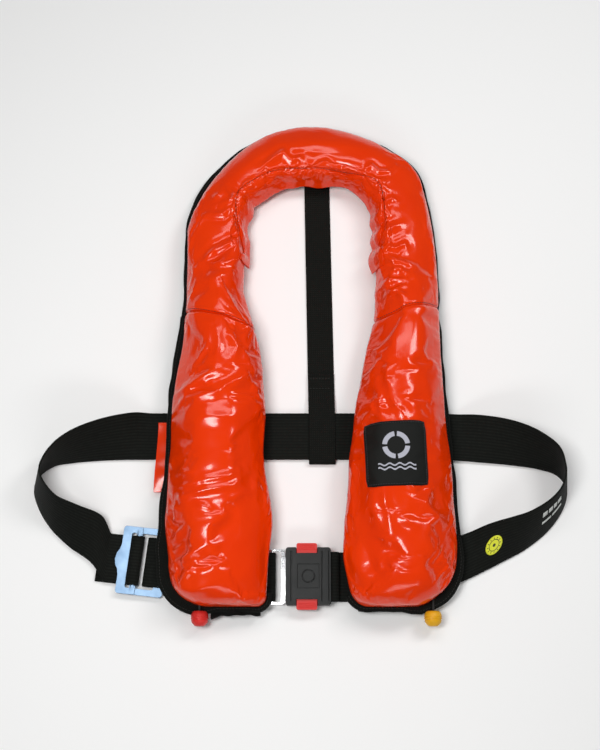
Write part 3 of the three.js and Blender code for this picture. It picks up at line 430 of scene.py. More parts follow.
def turned_piece(name, centre, axis, profile, sides=40):
    """A turned body: a circle extruded along an axis through (along, radius) steps."""
    bpy.ops.object.select_all(action="DESELECT")
    start = profile[0]
    bpy.ops.mesh.primitive_circle_add(
        vertices=sides, radius=start[1], fill_type="NGON", location=(0, 0, start[0])
    )
    piece = bpy.context.object
    piece.name = name
    piece.data.name = name
    bpy.ops.object.transform_apply(location=True)
    bpy.ops.object.mode_set(mode="EDIT")
    bpy.ops.mesh.select_all(action="SELECT")
    before = start
    for along, radius in profile[1:]:
        bpy.ops.mesh.extrude_region_move(
            TRANSFORM_OT_translate={"value": (0, 0, along - before[0])}
        )
        size = radius / before[1]
        bpy.ops.transform.resize(value=(size, size, 1), center_override=(0, 0, along))
        before = (along, radius)
    bpy.ops.mesh.select_all(action="SELECT")
    bpy.ops.mesh.normals_make_consistent(inside=False)
    bpy.ops.object.mode_set(mode="OBJECT")
    turn = Vector((0, 0, 1)).rotation_difference(Vector(axis)).to_matrix().to_4x4()
    piece.data.transform(Matrix.Translation(centre) @ turn)
    outward(piece)
    bpy.ops.object.shade_smooth_by_angle(angle=math.radians(50))
    return piece


# ---- materials ----
WAVE_PERIOD = math.pi / 10  # of a banded wave texture at scale 1
LABEL_ROW = 0.0011  # weft spacing of the label


def add(tree, kind, inputs=None, **settings):
    """Adds a shader node with its settings, and its sockets set or linked."""
    made = tree.nodes.new(kind)
    for key, value in settings.items():
        setattr(made, key, value)
    for key, value in (inputs or {}).items():
        if isinstance(value, bpy.types.NodeSocket):
            tree.links.new(value, made.inputs[key])
        else:
            made.inputs[key].default_value = value
    return made


def start_material(name, **sockets):
    material = bpy.data.materials.get(name)
    if material:
        bpy.data.materials.remove(material)
    material = bpy.data.materials.new(name)
    material.use_nodes = True
    tree = material.node_tree
    tree.nodes.clear()
    shader = add(
        tree,
        "ShaderNodeBsdfPrincipled",
        {key.replace("_", " "): value for key, value in sockets.items()},
    )
    add(tree, "ShaderNodeOutputMaterial", {"Surface": shader.outputs["BSDF"]})
    return material, tree, shader


def drive(shader, **sockets):
    """Links outputs to the shader's sockets of these names."""
    for key, socket in sockets.items():
        shader.id_data.links.new(socket, shader.inputs[key.replace("_", " ")])


def pvc_coated_fabric(look):
    """PVC-coated polyester, calendered: a wet gloss over a soft, slightly uneven skin."""
    material, tree, shader = start_material(
        "pvc_coated_fabric", Coat_Weight=0.12, Coat_Roughness=0.04, IOR=1.4
    )
    place = add(tree, "ShaderNodeTexCoord").outputs["Object"]
    cloudy = add(tree, "ShaderNodeTexNoise", {"Vector": place, "Scale": 1 / 0.045, "Detail": 3.0})
    paint = add(
        tree, "ShaderNodeMix", {0: cloudy.outputs["Fac"], 6: look.skin_dark, 7: look.skin},
        data_type="RGBA",
    )
    drive(shader, Base_Color=paint.outputs[2])
    rub = add(tree, "ShaderNodeTexNoise", {"Vector": place, "Scale": 1 / 0.012, "Detail": 4.0})
    dull = add(
        tree, "ShaderNodeMapRange",
        {"Value": rub.outputs["Fac"], "To Min": look.gloss - 0.04, "To Max": look.gloss + 0.08},
    )
    drive(shader, Roughness=dull.outputs[0])
    # The coating lies unevenly over the threads: a soft orange peel of about 3 mm.
    peel = add(tree, "ShaderNodeTexNoise", {"Vector": place, "Scale": 1 / 0.003, "Detail": 2.0})
    ripple = add(tree, "ShaderNodeTexNoise", {"Vector": place, "Scale": 1 / 0.020, "Detail": 2.0})
    fine = add(
        tree, "ShaderNodeBump",
        {"Height": peel.outputs["Fac"], "Strength": 0.12, "Distance": 0.0002},
    )
    bump = add(
        tree, "ShaderNodeBump",
        {"Height": ripple.outputs["Fac"], "Strength": 0.12, "Distance": 0.001,
         "Normal": fine.outputs["Normal"]},
    )
    drive(shader, Normal=bump.outputs["Normal"])
    return material


def woven_black(name, look, along, across, depth=0.0005):
    """Dyed polyester, woven in ribs across its length: matt, its raised threads painted a little
    paler as a highlight.
    """
    material, tree, shader = start_material(
        name, Roughness=0.78, Sheen_Weight=0.02, Sheen_Roughness=0.5, Specular_IOR_Level=0.12
    )
    place = add(tree, "ShaderNodeTexCoord").outputs["UV"]
    ribs = add(
        tree, "ShaderNodeTexWave",
        {"Vector": place, "Scale": WAVE_PERIOD / along, "Distortion": 0.4, "Detail": 1.0},
        bands_direction="X",
    )
    threads = add(
        tree, "ShaderNodeTexWave",
        {"Vector": place, "Scale": WAVE_PERIOD / across, "Distortion": 0.6, "Detail": 1.0},
        bands_direction="Y",
    )
    weave = add(
        tree, "ShaderNodeMath", {0: ribs.outputs["Fac"], 1: threads.outputs["Fac"]},
        operation="MULTIPLY",
    )
    fuzz = add(tree, "ShaderNodeTexNoise", {"Vector": place, "Scale": 1 / 0.006, "Detail": 4.0})
    # Painted highlight: the raised threads, broken up by the fuzz, are mixed towards the paler
    # black.
    painted_highlight_mask = add(
        tree, "ShaderNodeMath", {0: weave.outputs[0], 1: fuzz.outputs["Fac"]},
        operation="MULTIPLY",
    )
    paint = add(
        tree, "ShaderNodeMix", {0: painted_highlight_mask.outputs[0], 6: look.black, 7: look.black_thread_highlight},
        data_type="RGBA",
    )
    drive(shader, Base_Color=paint.outputs[2])
    bump = add(
        tree, "ShaderNodeBump",
        {"Height": weave.outputs[0], "Strength": 1.0, "Distance": depth},
    )
    drive(shader, Normal=bump.outputs["Normal"])
    return material


def speckled(name, paint, roughness, grain, strength, **sockets):
    """A moulded or cast surface with a fine eroded grain."""
    material, tree, shader = start_material(name, Base_Color=paint, **sockets)
    place = add(tree, "ShaderNodeTexCoord").outputs["Object"]
    spots = add(tree, "ShaderNodeTexNoise", {"Vector": place, "Scale": 1 / grain, "Detail": 3.0})
    cloud = add(
        tree, "ShaderNodeTexNoise", {"Vector": place, "Scale": 1 / (30 * grain), "Detail": 3.0}
    )
    dull = add(
        tree, "ShaderNodeMapRange",
        {"Value": cloud.outputs["Fac"], "To Min": roughness - 0.08, "To Max": roughness + 0.1},
    )
    drive(shader, Roughness=dull.outputs[0])
    bump = add(
        tree, "ShaderNodeBump",
        {"Height": spots.outputs["Fac"], "Strength": strength, "Distance": 0.0002},
    )
    drive(shader, Normal=bump.outputs["Normal"])
    return material


def acetal(name, paint):
    """Injection-moulded acetal: satin, with a spark-eroded grain of about 0.6 mm."""
    return speckled(name, paint, 0.42, 0.0006, 0.25, IOR=1.48, Specular_IOR_Level=0.3)


def polished_steel():
    """Stainless steel, tumbled bright: clear reflections with faint rubbing marks."""
    return speckled("polished_stainless_steel", linear("D9DADC"), 0.14, 0.0015, 0.06, Metallic=1.0)


def zinc_plated_steel(look):
    """Pressed steel, zinc-plated and blue-passivated: pale, bluish and a little cloudy."""
    material = speckled("zinc_plated_steel", look.zinc, 0.46, 0.002, 0.2, Metallic=1.0)
    tree = material.node_tree
    shader = tree.nodes["Principled BSDF"]
    place = tree.nodes["Texture Coordinate"].outputs["Object"]
    cloud = add(tree, "ShaderNodeTexNoise", {"Vector": place, "Scale": 1 / 0.012, "Detail": 5.0})
    paint = add(
        tree, "ShaderNodeMix", {0: cloud.outputs["Fac"], 6: linear("536B86"), 7: look.zinc},
        data_type="RGBA",
    )
    drive(shader, Base_Color=paint.outputs[2])
    return material


def thread(name, paint):
    """Bonded polyester sewing thread."""
    return speckled(name, paint, 0.6, 0.0004, 0.3)


def patterned(name, ground, ink, steps, **sockets):
    """A ground with a printed or woven figure, worked out from the map's x and y step by step."""
    material, tree, shader = start_material(name, **sockets)
    place = add(tree, "ShaderNodeTexCoord").outputs["UV"]
    split = add(tree, "ShaderNodeSeparateXYZ", {0: place})
    known = {"x": split.outputs["X"], "y": split.outputs["Y"]}
    if any("rows" in step for step in steps):
        known["rows"] = add(
            tree, "ShaderNodeTexWave", {"Vector": place, "Scale": WAVE_PERIOD / LABEL_ROW},
            bands_direction="Y",
        ).outputs["Fac"]
    for result, operation, *values in steps:
        inputs = {k: known.get(value, value) for k, value in enumerate(values)}
        known[result] = add(tree, "ShaderNodeMath", inputs, operation=operation).outputs[0]
    paint = add(tree, "ShaderNodeMix", {0: known["figure"], 6: ground, 7: ink}, data_type="RGBA")
    drive(shader, Base_Color=paint.outputs[2])
    return material, known.get("rows")


def printed_sticker():
    """Yellow vinyl with a printed ring and tick marks, like an inspection seal."""
    return patterned("printed_vinyl_sticker", linear("D9DE2C"), linear("2A2B10"), [
        ("u", "SUBTRACT", "x", 0.5),
        ("v", "SUBTRACT", "y", 0.5),
        ("u2", "MULTIPLY", "u", "u"),
        ("v2", "MULTIPLY", "v", "v"),
        ("r2", "ADD", "u2", "v2"),
        ("radius", "SQRT", "r2"),
        ("angle", "ARCTAN2", "v", "u"),
        ("ring", "COMPARE", "radius", 0.30, 0.02),
        ("turns", "MULTIPLY", "angle", 12.0),
        ("beat", "SINE", "turns"),
        ("tick", "GREATER_THAN", "beat", 0.72),
        ("band", "COMPARE", "radius", 0.385, 0.035),
        ("ticks", "MULTIPLY", "tick", "band"),
        ("core", "LESS_THAN", "radius", 0.09),
        ("inked", "ADD", "ring", "ticks"),
        ("all", "ADD", "inked", "core"),
        ("figure", "MINIMUM", "all", 1.0),
    ], Roughness=0.42)[0]


def woven_label(look):
    """A woven damask label: near black with pale weft that draws a ring buoy over two waves."""
    material, rows = patterned("woven_label", look.black, linear("C9CAD6"), [
        ("up", "SUBTRACT", "y", 0.008),
        ("x2", "MULTIPLY", "x", "x"),
        ("up2", "MULTIPLY", "up", "up"),
        ("r2", "ADD", "x2", "up2"),
        ("radius", "SQRT", "r2"),
        ("ring", "COMPARE", "radius", 0.0115, 0.0024),
        ("angle", "ARCTAN2", "up", "x"),
        ("double", "MULTIPLY", "angle", 2.0),
        ("beat", "SINE", "double"),
        ("size", "ABSOLUTE", "beat"),
        ("gaps", "GREATER_THAN", "size", 0.22),
        ("buoy", "MULTIPLY", "ring", "gaps"),
        ("along", "MULTIPLY", "x", 620.0),
        ("swing", "SINE", "along"),
        ("swell", "MULTIPLY", "swing", 0.0011),
        ("level", "SUBTRACT", "y", "swell"),
        ("wave_high", "COMPARE", "level", -0.0115, 0.0008),
        ("wave_low", "COMPARE", "level", -0.0155, 0.0008),
        ("aside", "ABSOLUTE", "x"),
        ("narrow", "LESS_THAN", "aside", 0.019),
        ("waves", "ADD", "wave_high", "wave_low"),
        ("sea", "MULTIPLY", "waves", "narrow"),
        ("both", "ADD", "buoy", "sea"),
        ("drawn", "MINIMUM", "both", 1.0),
        ("thread", "MULTIPLY", "rows", 0.35),
        ("tone", "ADD", "thread", 0.6),
        ("figure", "MULTIPLY", "drawn", "tone"),
    ], Roughness=0.7, Sheen_Weight=0.04, Sheen_Roughness=0.5, Specular_IOR_Level=0.25)
    tree = material.node_tree
    bump = add(
        tree, "ShaderNodeBump", {"Height": rows, "Strength": 0.5, "Distance": 0.0002}
    )
    tree.links.new(bump.outputs["Normal"], tree.nodes["Principled BSDF"].inputs["Normal"])
    return material


# ---- the cover's shape ----
def stations_at(at):
    """Middle, direction across, half width, rim, top and edging at places along the horseshoe."""
    table = np.array(STATIONS)
    outer = curve_points(table[:, 0:2], at)
    inner = curve_points(table[:, 2:4], at)
    edge = curve_points(table[:, [4, 4]], at)[:, 0]
    middle = (outer + inner) / 2
    across = inner - outer
    width = np.linalg.norm(across, axis=1)
    across /= width[:, None]
    drop = smooth(*RIM_DROP, middle[:, 1])
    rim = RIM_LOBE + (RIM_COLLAR - RIM_LOBE) * drop
    return middle, across, width / 2, rim, drop, edge


def corner(radius, depth):
    """How far a round corner pulls an edge in at this distance from the end."""
    inside = np.clip(radius - depth, 0, radius)
    return radius - np.sqrt(radius**2 - inside**2)


def ring_places(step=RING_STEP):
    """Places along the horseshoe about a step apart, closer together at the ends."""
    fine = np.linspace(0, LAST, 4001)
    middle = stations_at(fine)[0]
    walked = np.concatenate([[0], np.cumsum(np.linalg.norm(np.diff(middle, axis=0), axis=1))])
    total = walked[-1]
    marks = np.arange(0, total, step)[1:]
    near = np.array([0, 0.0004, 0.001, 0.002])
    marks = np.concatenate([near, marks[marks < total - step / 2], (total - near)[::-1]])
    return np.interp(marks, walked, fine)


def cover_outline(at):
    """The edges of the cover with its round corners: middle, across, reach out and reach in."""
    middle, across, half, rim, drop, edge = stations_at(at)
    depth = middle[:, 1] - LOBE_END
    left = at < LAST / 2
    outer_radius = np.where(left, CORNER_LEFT[0], CORNER_RIGHT[0])
    inner_radius = np.where(left, CORNER_LEFT[1], CORNER_RIGHT[1])
    reach_out = half - corner(outer_radius, depth)
    reach_in = half - corner(inner_radius, depth)
    # the fabric rolls over in waves along the neck
    neck = smooth(7.2, 9, at) * (1 - smooth(17.5, 19.5, at))
    line = middle + across * half[:, None]
    reach_in = reach_in + neck * (0.0035 * waves(line, 0.045, 5) + 0.0015 * waves(line, 0.018, 6))
    lobes = 1 - neck
    reach_in = reach_in + lobes * 0.0022 * waves(line, 0.075, 8)
    return middle, across, reach_out, reach_in, rim, drop, edge


def cover_grid(look):
    """Rings of points round the horseshoe: the dome from outer to inner rim, then the floor."""
    at = ring_places()
    middle, across, reach_out, reach_in, rim, drop, _ = cover_outline(at)
    depth = np.clip((middle[:, 1] - LOBE_END) / END_ROUNDING, 0, 1)
    crown = look.crown * (0.3 + 0.7 * np.sqrt(1 - (1 - depth) ** 2))
    angle = np.linspace(0, math.pi, DOME_COLUMNS)
    side = -np.sign(np.cos(angle)) * np.abs(np.cos(angle)) ** (2 / DOME_POWER)
    rise = np.clip(np.sin(angle), 0, 1) ** (2 / DOME_POWER)
    reach = np.where(side[None, :] < 0, reach_out[:, None], reach_in[:, None])
    widest = rim + SIDE_HEIGHT * np.clip(crown / look.crown, 0, 1)
    across_dome = side[None, :] * reach
    # behind the neck the crest lies near the inner edge and the cover slopes away from it
    lean = 1 - 0.3 * drop[:, None] * (1 - (side[None, :] + 1) / 2)
    height = widest[:, None] + (rim + crown - widest)[:, None] * rise[None, :] * lean
    tuck_out = -TUCK * reach_out
    tuck_in = TUCK * reach_in
    floor_share = np.linspace(0, 1, FLOOR_COLUMNS)
    across_floor = tuck_in[:, None] + (tuck_out - tuck_in)[:, None] * floor_share[None, :]
    height_floor = np.repeat(rim[:, None], FLOOR_COLUMNS, axis=1) + 0.0002
    u = np.hstack([across_dome, across_floor])
    z = np.hstack([height, height_floor])
    xy = middle[:, None, :] + across[:, None, :] * u[:, :, None]
    return at, np.dstack([xy, z])


FACING_LINE = [
    (-0.087, 0.196), (-0.090, 0.210), (-0.095, 0.238), (-0.094, 0.258), (-0.084, 0.269),
    (-0.064, 0.282), (-0.048, 0.288), (-0.012, 0.290), (0.014, 0.288), (0.038, 0.282),
    (0.057, 0.273), (0.063, 0.258), (0.063, 0.220), (0.059, 0.203),
]


def distance_to(line, points):
    """Distance in plan from points to a line of corners, and how far along it they lie, 0 to 1."""
    line = np.asarray(line, float)
    lengths = np.linalg.norm(np.diff(line, axis=0), axis=1)
    best = np.full(len(points), 1e9)
    along = np.zeros(len(points))
    for k, (a, b) in enumerate(zip(line[:-1], line[1:])):
        way = b - a
        t = np.clip(((points - a) @ way) / (way @ way), 0, 1)
        gap = np.linalg.norm(points - a - t[:, None] * way, axis=1)
        nearer = gap < best
        best[nearer] = gap[nearer]
        along[nearer] = (lengths[:k].sum() + t[nearer] * lengths[k]) / lengths.sum()
    return best, along


def blow_up(piece, held, pressure=5.0, excess=0.03, frames=20):
    """Swells a closed cloth body under pressure, its held points staying where they are."""
    group = piece.vertex_groups.new(name="sewn")
    for weight in np.unique(held[held > 0]):
        group.add([int(k) for k in np.nonzero(held == weight)[0]], float(weight), "REPLACE")
    cloth = piece.modifiers.new("Cloth", "CLOTH")
    cloth.settings.vertex_group_mass = "sewn"
    cloth.settings.quality = 6
    cloth.settings.mass = 0.4
    cloth.settings.tension_stiffness = 12
    cloth.settings.compression_stiffness = 12
    cloth.settings.shear_stiffness = 6
    cloth.settings.bending_stiffness = 0.8
    cloth.settings.use_pressure = True
    cloth.settings.uniform_pressure_force = pressure
    cloth.settings.shrink_min = -excess
    cloth.settings.effector_weights.gravity = 0
    cloth.collision_settings.use_collision = False
    cloth.point_cache.frame_start = 1
    cloth.point_cache.frame_end = frames
    scene = bpy.context.scene
    for step in range(1, frames + 1):
        scene.frame_set(step)
    bpy.context.view_layer.update()
    settled = piece.evaluated_get(bpy.context.evaluated_depsgraph_get())
    flat = np.empty(len(piece.data.vertices) * 3)
    settled.data.vertices.foreach_get("co", flat)
    piece.modifiers.remove(cloth)
    scene.frame_set(1)
    return flat.reshape(-1, 3)


def twice_as_fine(grid, closed):
    """Adds a point half way between neighbours along the first axis, on a smooth curve."""
    if closed:
        before, after, far = (np.roll(grid, k, axis=0) for k in (1, -1, -2))
        half = (9 * (grid + after) - before - far) / 16
        return np.stack([grid, half], axis=1).reshape(-1, *grid.shape[1:])
    padded = np.concatenate([2 * grid[:1] - grid[1:2], grid, 2 * grid[-1:] - grid[-2:-1]])
    half = (9 * (padded[1:-2] + padded[2:-1]) - padded[:-3] - padded[3:]) / 16
    out = np.empty((2 * len(grid) - 1, *grid.shape[1:]))
    out[0::2] = grid
    out[1::2] = half
    return out


def grid_normals(grid):
    ahead = np.gradient(grid, axis=0)
    round_it = (np.roll(grid, -1, axis=1) - np.roll(grid, 1, axis=1)) / 2
    normal = np.cross(round_it, ahead)
    size = np.linalg.norm(normal, axis=2, keepdims=True)
    normal /= np.maximum(size, 1e-12)
    flip = np.sign(normal[:, DOME_COLUMNS, 2].mean()) or 1
    return normal * flip


# Folds and creases, listed: points in plan, height (a valley is negative) and half width.
FOLDS = [
    # left lobe
    ([(-0.094, 0.108), (-0.097, 0.096), (-0.091, 0.082), (-0.095, 0.067)], 0.0022, 0.0032),
    ([(-0.110, 0.102), (-0.109, 0.085), (-0.111, 0.069)], 0.0012, 0.003),
    ([(-0.156, 0.033), (-0.134, 0.046), (-0.111, 0.058)], 0.0018, 0.003),
    ([(-0.155, 0.025), (-0.113, 0.033), (-0.088, 0.048), (-0.065, 0.067)], 0.0022, 0.0035),
    ([(-0.131, 0.008), (-0.107, 0.007), (-0.087, 0.010)], 0.0013, 0.005),
    ([(-0.148, -0.048), (-0.133, -0.049)], 0.0016, 0.0025),
    ([(-0.155, -0.060), (-0.142, -0.062), (-0.130, -0.060)], 0.0018, 0.0022),
    ([(-0.132, -0.060), (-0.097, -0.053), (-0.079, -0.042)], 0.0016, 0.0035),
    ([(-0.157, -0.076), (-0.122, -0.067), (-0.093, -0.062), (-0.077, -0.046)], 0.0018, 0.0030),
    ([(-0.155, -0.080), (-0.149, -0.085)], 0.0016, 0.0022),
    ([(-0.153, -0.092), (-0.147, -0.097)], 0.0016, 0.0022),
    ([(-0.155, -0.101), (-0.150, -0.107)], 0.0015, 0.0022),
    ([(-0.130, -0.082), (-0.113, -0.086)], 0.0016, 0.003),
    ([(-0.132, -0.092), (-0.101, -0.093), (-0.122, -0.103)], 0.0012, 0.004),
    ([(-0.154, -0.114), (-0.140, -0.101)], 0.0020, 0.0026),
    ([(-0.154, -0.126), (-0.139, -0.119)], 0.0018, 0.0026),
    ([(-0.155, -0.139), (-0.139, -0.133), (-0.121, -0.123)], 0.0026, 0.0034),
    ([(-0.144, -0.156), (-0.131, -0.140)], 0.0024, 0.0030),
    ([(-0.150, -0.161), (-0.132, -0.165), (-0.112, -0.161)], 0.0020, 0.004),
    ([(-0.088, -0.062), (-0.086, -0.110), (-0.097, -0.128)], 0.0016, 0.008),
    ([(-0.069, -0.030), (-0.070, -0.080)], 0.0010, 0.003),
    # right lobe
    ([(0.064, 0.069), (0.062, 0.050), (0.066, 0.030)], 0.0022, 0.0030),
    ([(0.053, 0.031), (0.057, 0.004)], 0.0018, 0.003),
    ([(0.065, 0.029), (0.073, 0.016), (0.081, 0.004)], 0.0018, 0.003),
    ([(0.084, -0.074), (0.095, -0.079), (0.112, -0.096)], 0.0028, 0.0045),
    ([(0.104, -0.060), (0.099, -0.076), (0.096, -0.084)], 0.0024, 0.0040),
    ([(0.079, -0.060), (0.088, -0.066), (0.097, -0.061)], 0.0016, 0.0025),
    ([(0.074, -0.094), (0.086, -0.102)], 0.0020, 0.0035),
    ([(0.057, -0.064), (0.058, -0.079), (0.061, -0.090), (0.064, -0.110)], 0.0014, 0.0028),
    ([(0.029, -0.020), (0.026, -0.063), (0.029, -0.106)], 0.0016, 0.003),
    ([(0.032, -0.110), (0.044, -0.142), (0.060, -0.160)], -0.0025, 0.010),
    ([(0.050, -0.133), (0.053, -0.146)], 0.0014, 0.0045),
    ([(0.022, -0.120), (0.034, -0.150)], 0.0018, 0.006),
    # the neck, outside the stitched facing
    ([(-0.070, 0.288), (-0.055, 0.300), (-0.045, 0.307), (-0.036, 0.297)], 0.0026, 0.0030),
    ([(-0.035, 0.299), (-0.027, 0.301), (-0.022, 0.293)], 0.0022, 0.0024),
    ([(-0.007, 0.294), (0.002, 0.297), (0.010, 0.293)], 0.0022, 0.0022),
    ([(0.042, 0.285), (0.051, 0.292), (0.059, 0.285), (0.070, 0.286), (0.077, 0.294)],
     0.0024, 0.0024),
    ([(-0.114, 0.268), (-0.070, 0.303), (-0.010, 0.318), (0.050, 0.312)], 0.0012, 0.009),
    ([(-0.040, 0.302), (-0.020, 0.309), (0.020, 0.306)], -0.0016, 0.006),
    # left shoulder
    ([(-0.128, 0.237), (-0.110, 0.236), (-0.096, 0.246)], 0.0022, 0.0028),
    ([(-0.131, 0.181), (-0.117, 0.195), (-0.088, 0.205)], 0.0026, 0.0030),
    ([(-0.128, 0.178), (-0.106, 0.178), (-0.086, 0.187)], 0.0020, 0.0030),
    ([(-0.091, 0.251), (-0.102, 0.262), (-0.109, 0.269)], 0.0018, 0.0026),
    ([(-0.122, 0.255), (-0.112, 0.262)], 0.0016, 0.0030),
    ([(-0.132, 0.166), (-0.118, 0.158), (-0.104, 0.168)], 0.0014, 0.0050),
    ([(-0.084, 0.214), (-0.097, 0.206), (-0.108, 0.202)], 0.0022, 0.0028),
    ([(-0.076, 0.170), (-0.092, 0.150), (-0.090, 0.120)], -0.0020, 0.006),
    # right shoulder
    ([(0.061, 0.212), (0.072, 0.220), (0.082, 0.224)], 0.0026, 0.0034),
    ([(0.063, 0.197), (0.076, 0.196), (0.085, 0.201), (0.086, 0.193)], 0.0024, 0.0026),
    ([(0.065, 0.183), (0.079, 0.180), (0.096, 0.176)], 0.0024, 0.0024),
    ([(0.053, 0.150), (0.070, 0.160), (0.086, 0.156)], 0.0026, 0.0028),
    ([(0.062, 0.147), (0.075, 0.145), (0.083, 0.137)], 0.0024, 0.0026),
    ([(0.066, 0.142), (0.077, 0.150), (0.088, 0.152)], 0.0018, 0.0024),
    ([(0.086, 0.160), (0.080, 0.172), (0.064, 0.170)], 0.0018, 0.0030),
    ([(0.058, 0.246), (0.072, 0.254), (0.078, 0.250)], 0.0020, 0.0026),
    ([(0.090, 0.128), (0.108, 0.124), (0.116, 0.129)], 0.0014, 0.0040),
]


def crease(grid, look):
    """Raises the listed folds and a seeded unevenness along the surface's normals."""
    normal = grid_normals(grid)
    flat = grid.reshape(-1, 3)
    upper = np.clip((flat[:, 2] - 0.016) / 0.008, 0, 1)
    lift = np.zeros(len(flat))
    for line, height, width in FOLDS:
        gap, along = distance_to(line, flat[:, :2])
        taper = np.clip(np.sin(math.pi * np.clip(along, 0.04, 0.96)), 0, 1) ** 0.6
        ridge = np.exp(-np.abs(gap / width) ** 1.5)
        shoulder = np.exp(-(((gap - 2.4 * width) / (1.3 * width)) ** 2))
        lift += height * taper * (ridge - 0.45 * shoulder) * upper
    lift *= look.crease_depth / 0.0022
    lift += 0.0011 * upper * waves(flat, 0.060, 11)
    lift += 0.00018 * upper * waves(flat, 0.019, 12)
    gap, _ = distance_to(FACING_LINE, flat[:, :2])
    lift -= 0.0012 * upper * np.exp(-((gap / 0.002) ** 2))
    moved = grid + normal * lift.reshape(grid.shape[:2])[:, :, None]
    return moved


def swollen_cover(look):
    """The cover's rings after it is blown up, made finer, creased and pulled in at its seams."""
    at, grid = cover_grid(look)
    count, columns = grid.shape[:2]
    held = np.zeros((count, columns))
    held[:, DOME_COLUMNS:] = 1
    held[:, :3] = 1
    held[:, DOME_COLUMNS - 3 : DOME_COLUMNS] = 1
    held[:2] = held[-2:] = 1
    for seam in (LEFT_SEAM, RIGHT_SEAM):
        held[np.abs(at - seam) < 0.03] = 1
    gap, _ = distance_to(FACING_LINE, grid.reshape(-1, 3)[:, :2])
    on_top = (grid[:, :, 2] > 0.03).ravel()
    held.ravel()[(gap < 0.0022) & on_top] = 0.6
    start = grid.reshape(-1, 3)
    body = tube_piece("cover_cloth", grid)
    ends = np.ones(2)
    settled = blow_up(body, np.concatenate([held.ravel(), ends]))[:-2]
    bpy.data.objects.remove(body)
    push = settled - start
    reach = np.linalg.norm(push, axis=1)
    if not np.isfinite(reach).all():
        raise RuntimeError("the cover's cloth did not settle")
    cap = look.pillow * np.tanh(reach / look.pillow) / np.maximum(reach, 1e-9)
    # low on its sides the cover is held by its sewn edge and moves less
    free = 0.2 + 0.8 * smooth(0.018, 0.046, start[:, 2])
    settled = start + push * (cap * free)[:, None]
    settled[:, 2] = np.maximum(settled[:, 2], 0.004)
    grid = settled.reshape(grid.shape)
    grid = twice_as_fine(grid, closed=False)
    grid = twice_as_fine(grid.transpose(1, 0, 2), closed=True).transpose(1, 0, 2)
    at = twice_as_fine(at[:, None], closed=False)[:, 0]
    grid = crease(grid, look)
    normal = grid_normals(grid)
    for seam in (LEFT_SEAM, RIGHT_SEAM):
        pull = look.seam_depth * np.exp(-(((at - seam) / 0.05) ** 2))
        grid = grid - normal * pull[:, None, None] * (grid[:, :, 2:3] > 0.02)
    return at, grid


made = {}  # what one operator leaves for the next: the cover's rings and its surface


def parted(rows):
    """What belongs to the left lobe, the collar and the right lobe, split at the shoulder seams."""
    left, right = (int(np.argmin(np.abs(made["at"] - s))) for s in (LEFT_SEAM, RIGHT_SEAM))
    return {"left": rows[: left + 1], "collar": rows[left : right + 1], "right": rows[right:]}


def cover_surface(x, y):
    """Height of the finished cover at a place in plan."""
    hit = made["surface"].ray_cast(Vector((x, y, 0.2)), Vector((0, 0, -1)))
    if hit[0] is None:
        raise RuntimeError(f"no cover under {x:.3f}, {y:.3f}")
    return hit[0].z


def stitches(name, points, ups, length, radius=0.0004, share_of_pitch=0.78):
    """A line of stitches along points: short threads with round ends, dipping into the cloth."""
    points, ups = np.asarray(points, float), np.asarray(ups, float)
    walked = np.concatenate([[0], np.cumsum(np.linalg.norm(np.diff(points, axis=0), axis=1))])
    count = max(2, int(walked[-1] / length))
    verts, faces = [], []
    sides = 6
    for k in range(count):
        ring_at = np.linspace(k, k + share_of_pitch, 4) * length
        centre = np.stack([np.interp(ring_at, walked, points[:, c]) for c in range(3)], axis=1)
        up = np.array([np.interp(ring_at[1], walked, ups[:, c]) for c in range(3)])
        up /= np.linalg.norm(up)
        way = centre[-1] - centre[0]
        side = np.cross(way, up)
        side /= np.linalg.norm(side)
        base = len(verts)
        for c, size, lift in zip(centre, (0.45, 1, 1, 0.45), (-0.2, 0.7, 0.7, -0.2)):
            for j in range(sides):
                a = 2 * math.pi * j / sides
                verts.append(c + radius * (size * math.cos(a) * side
                                           + (size * math.sin(a) + lift) * up))
        for i in range(3):
            for j in range(sides):
                n = (j + 1) % sides
                faces.append((base + i * sides + j, base + i * sides + n,
                              base + (i + 1) * sides + n, base + (i + 1) * sides + j))
        faces.append(tuple(base + j for j in range(sides)))
        faces.append(tuple(base + 3 * sides + j for j in reversed(range(sides))))
    piece = mesh_piece(name, verts, faces)
    outward(piece)
    return piece


class JACKET_OT_cover(bpy.types.Operator):
    """Blow up the cover, crease it and part it at the shoulder seams"""

    bl_idname = "jacket.cover"
    bl_label = "Cover"

    def execute(self, context):
        look = context.scene.jacket_cover
        at, grid = swollen_cover(look)
        made["at"], made["grid"] = at, grid
        made["surface"] = BVHTree.FromPolygons(
            [Vector(p) for p in grid.reshape(-1, 3)], grid_faces(*grid.shape[:2])
        )
        skin = pvc_coated_fabric(look)
        for side, rings in parted(grid).items():
            piece = tube_piece(f"padded_cover_{side}", rings)
            belongs(piece, "root", skin, "orange_pvc", f"cover_{side}")
        return {"FINISHED"}


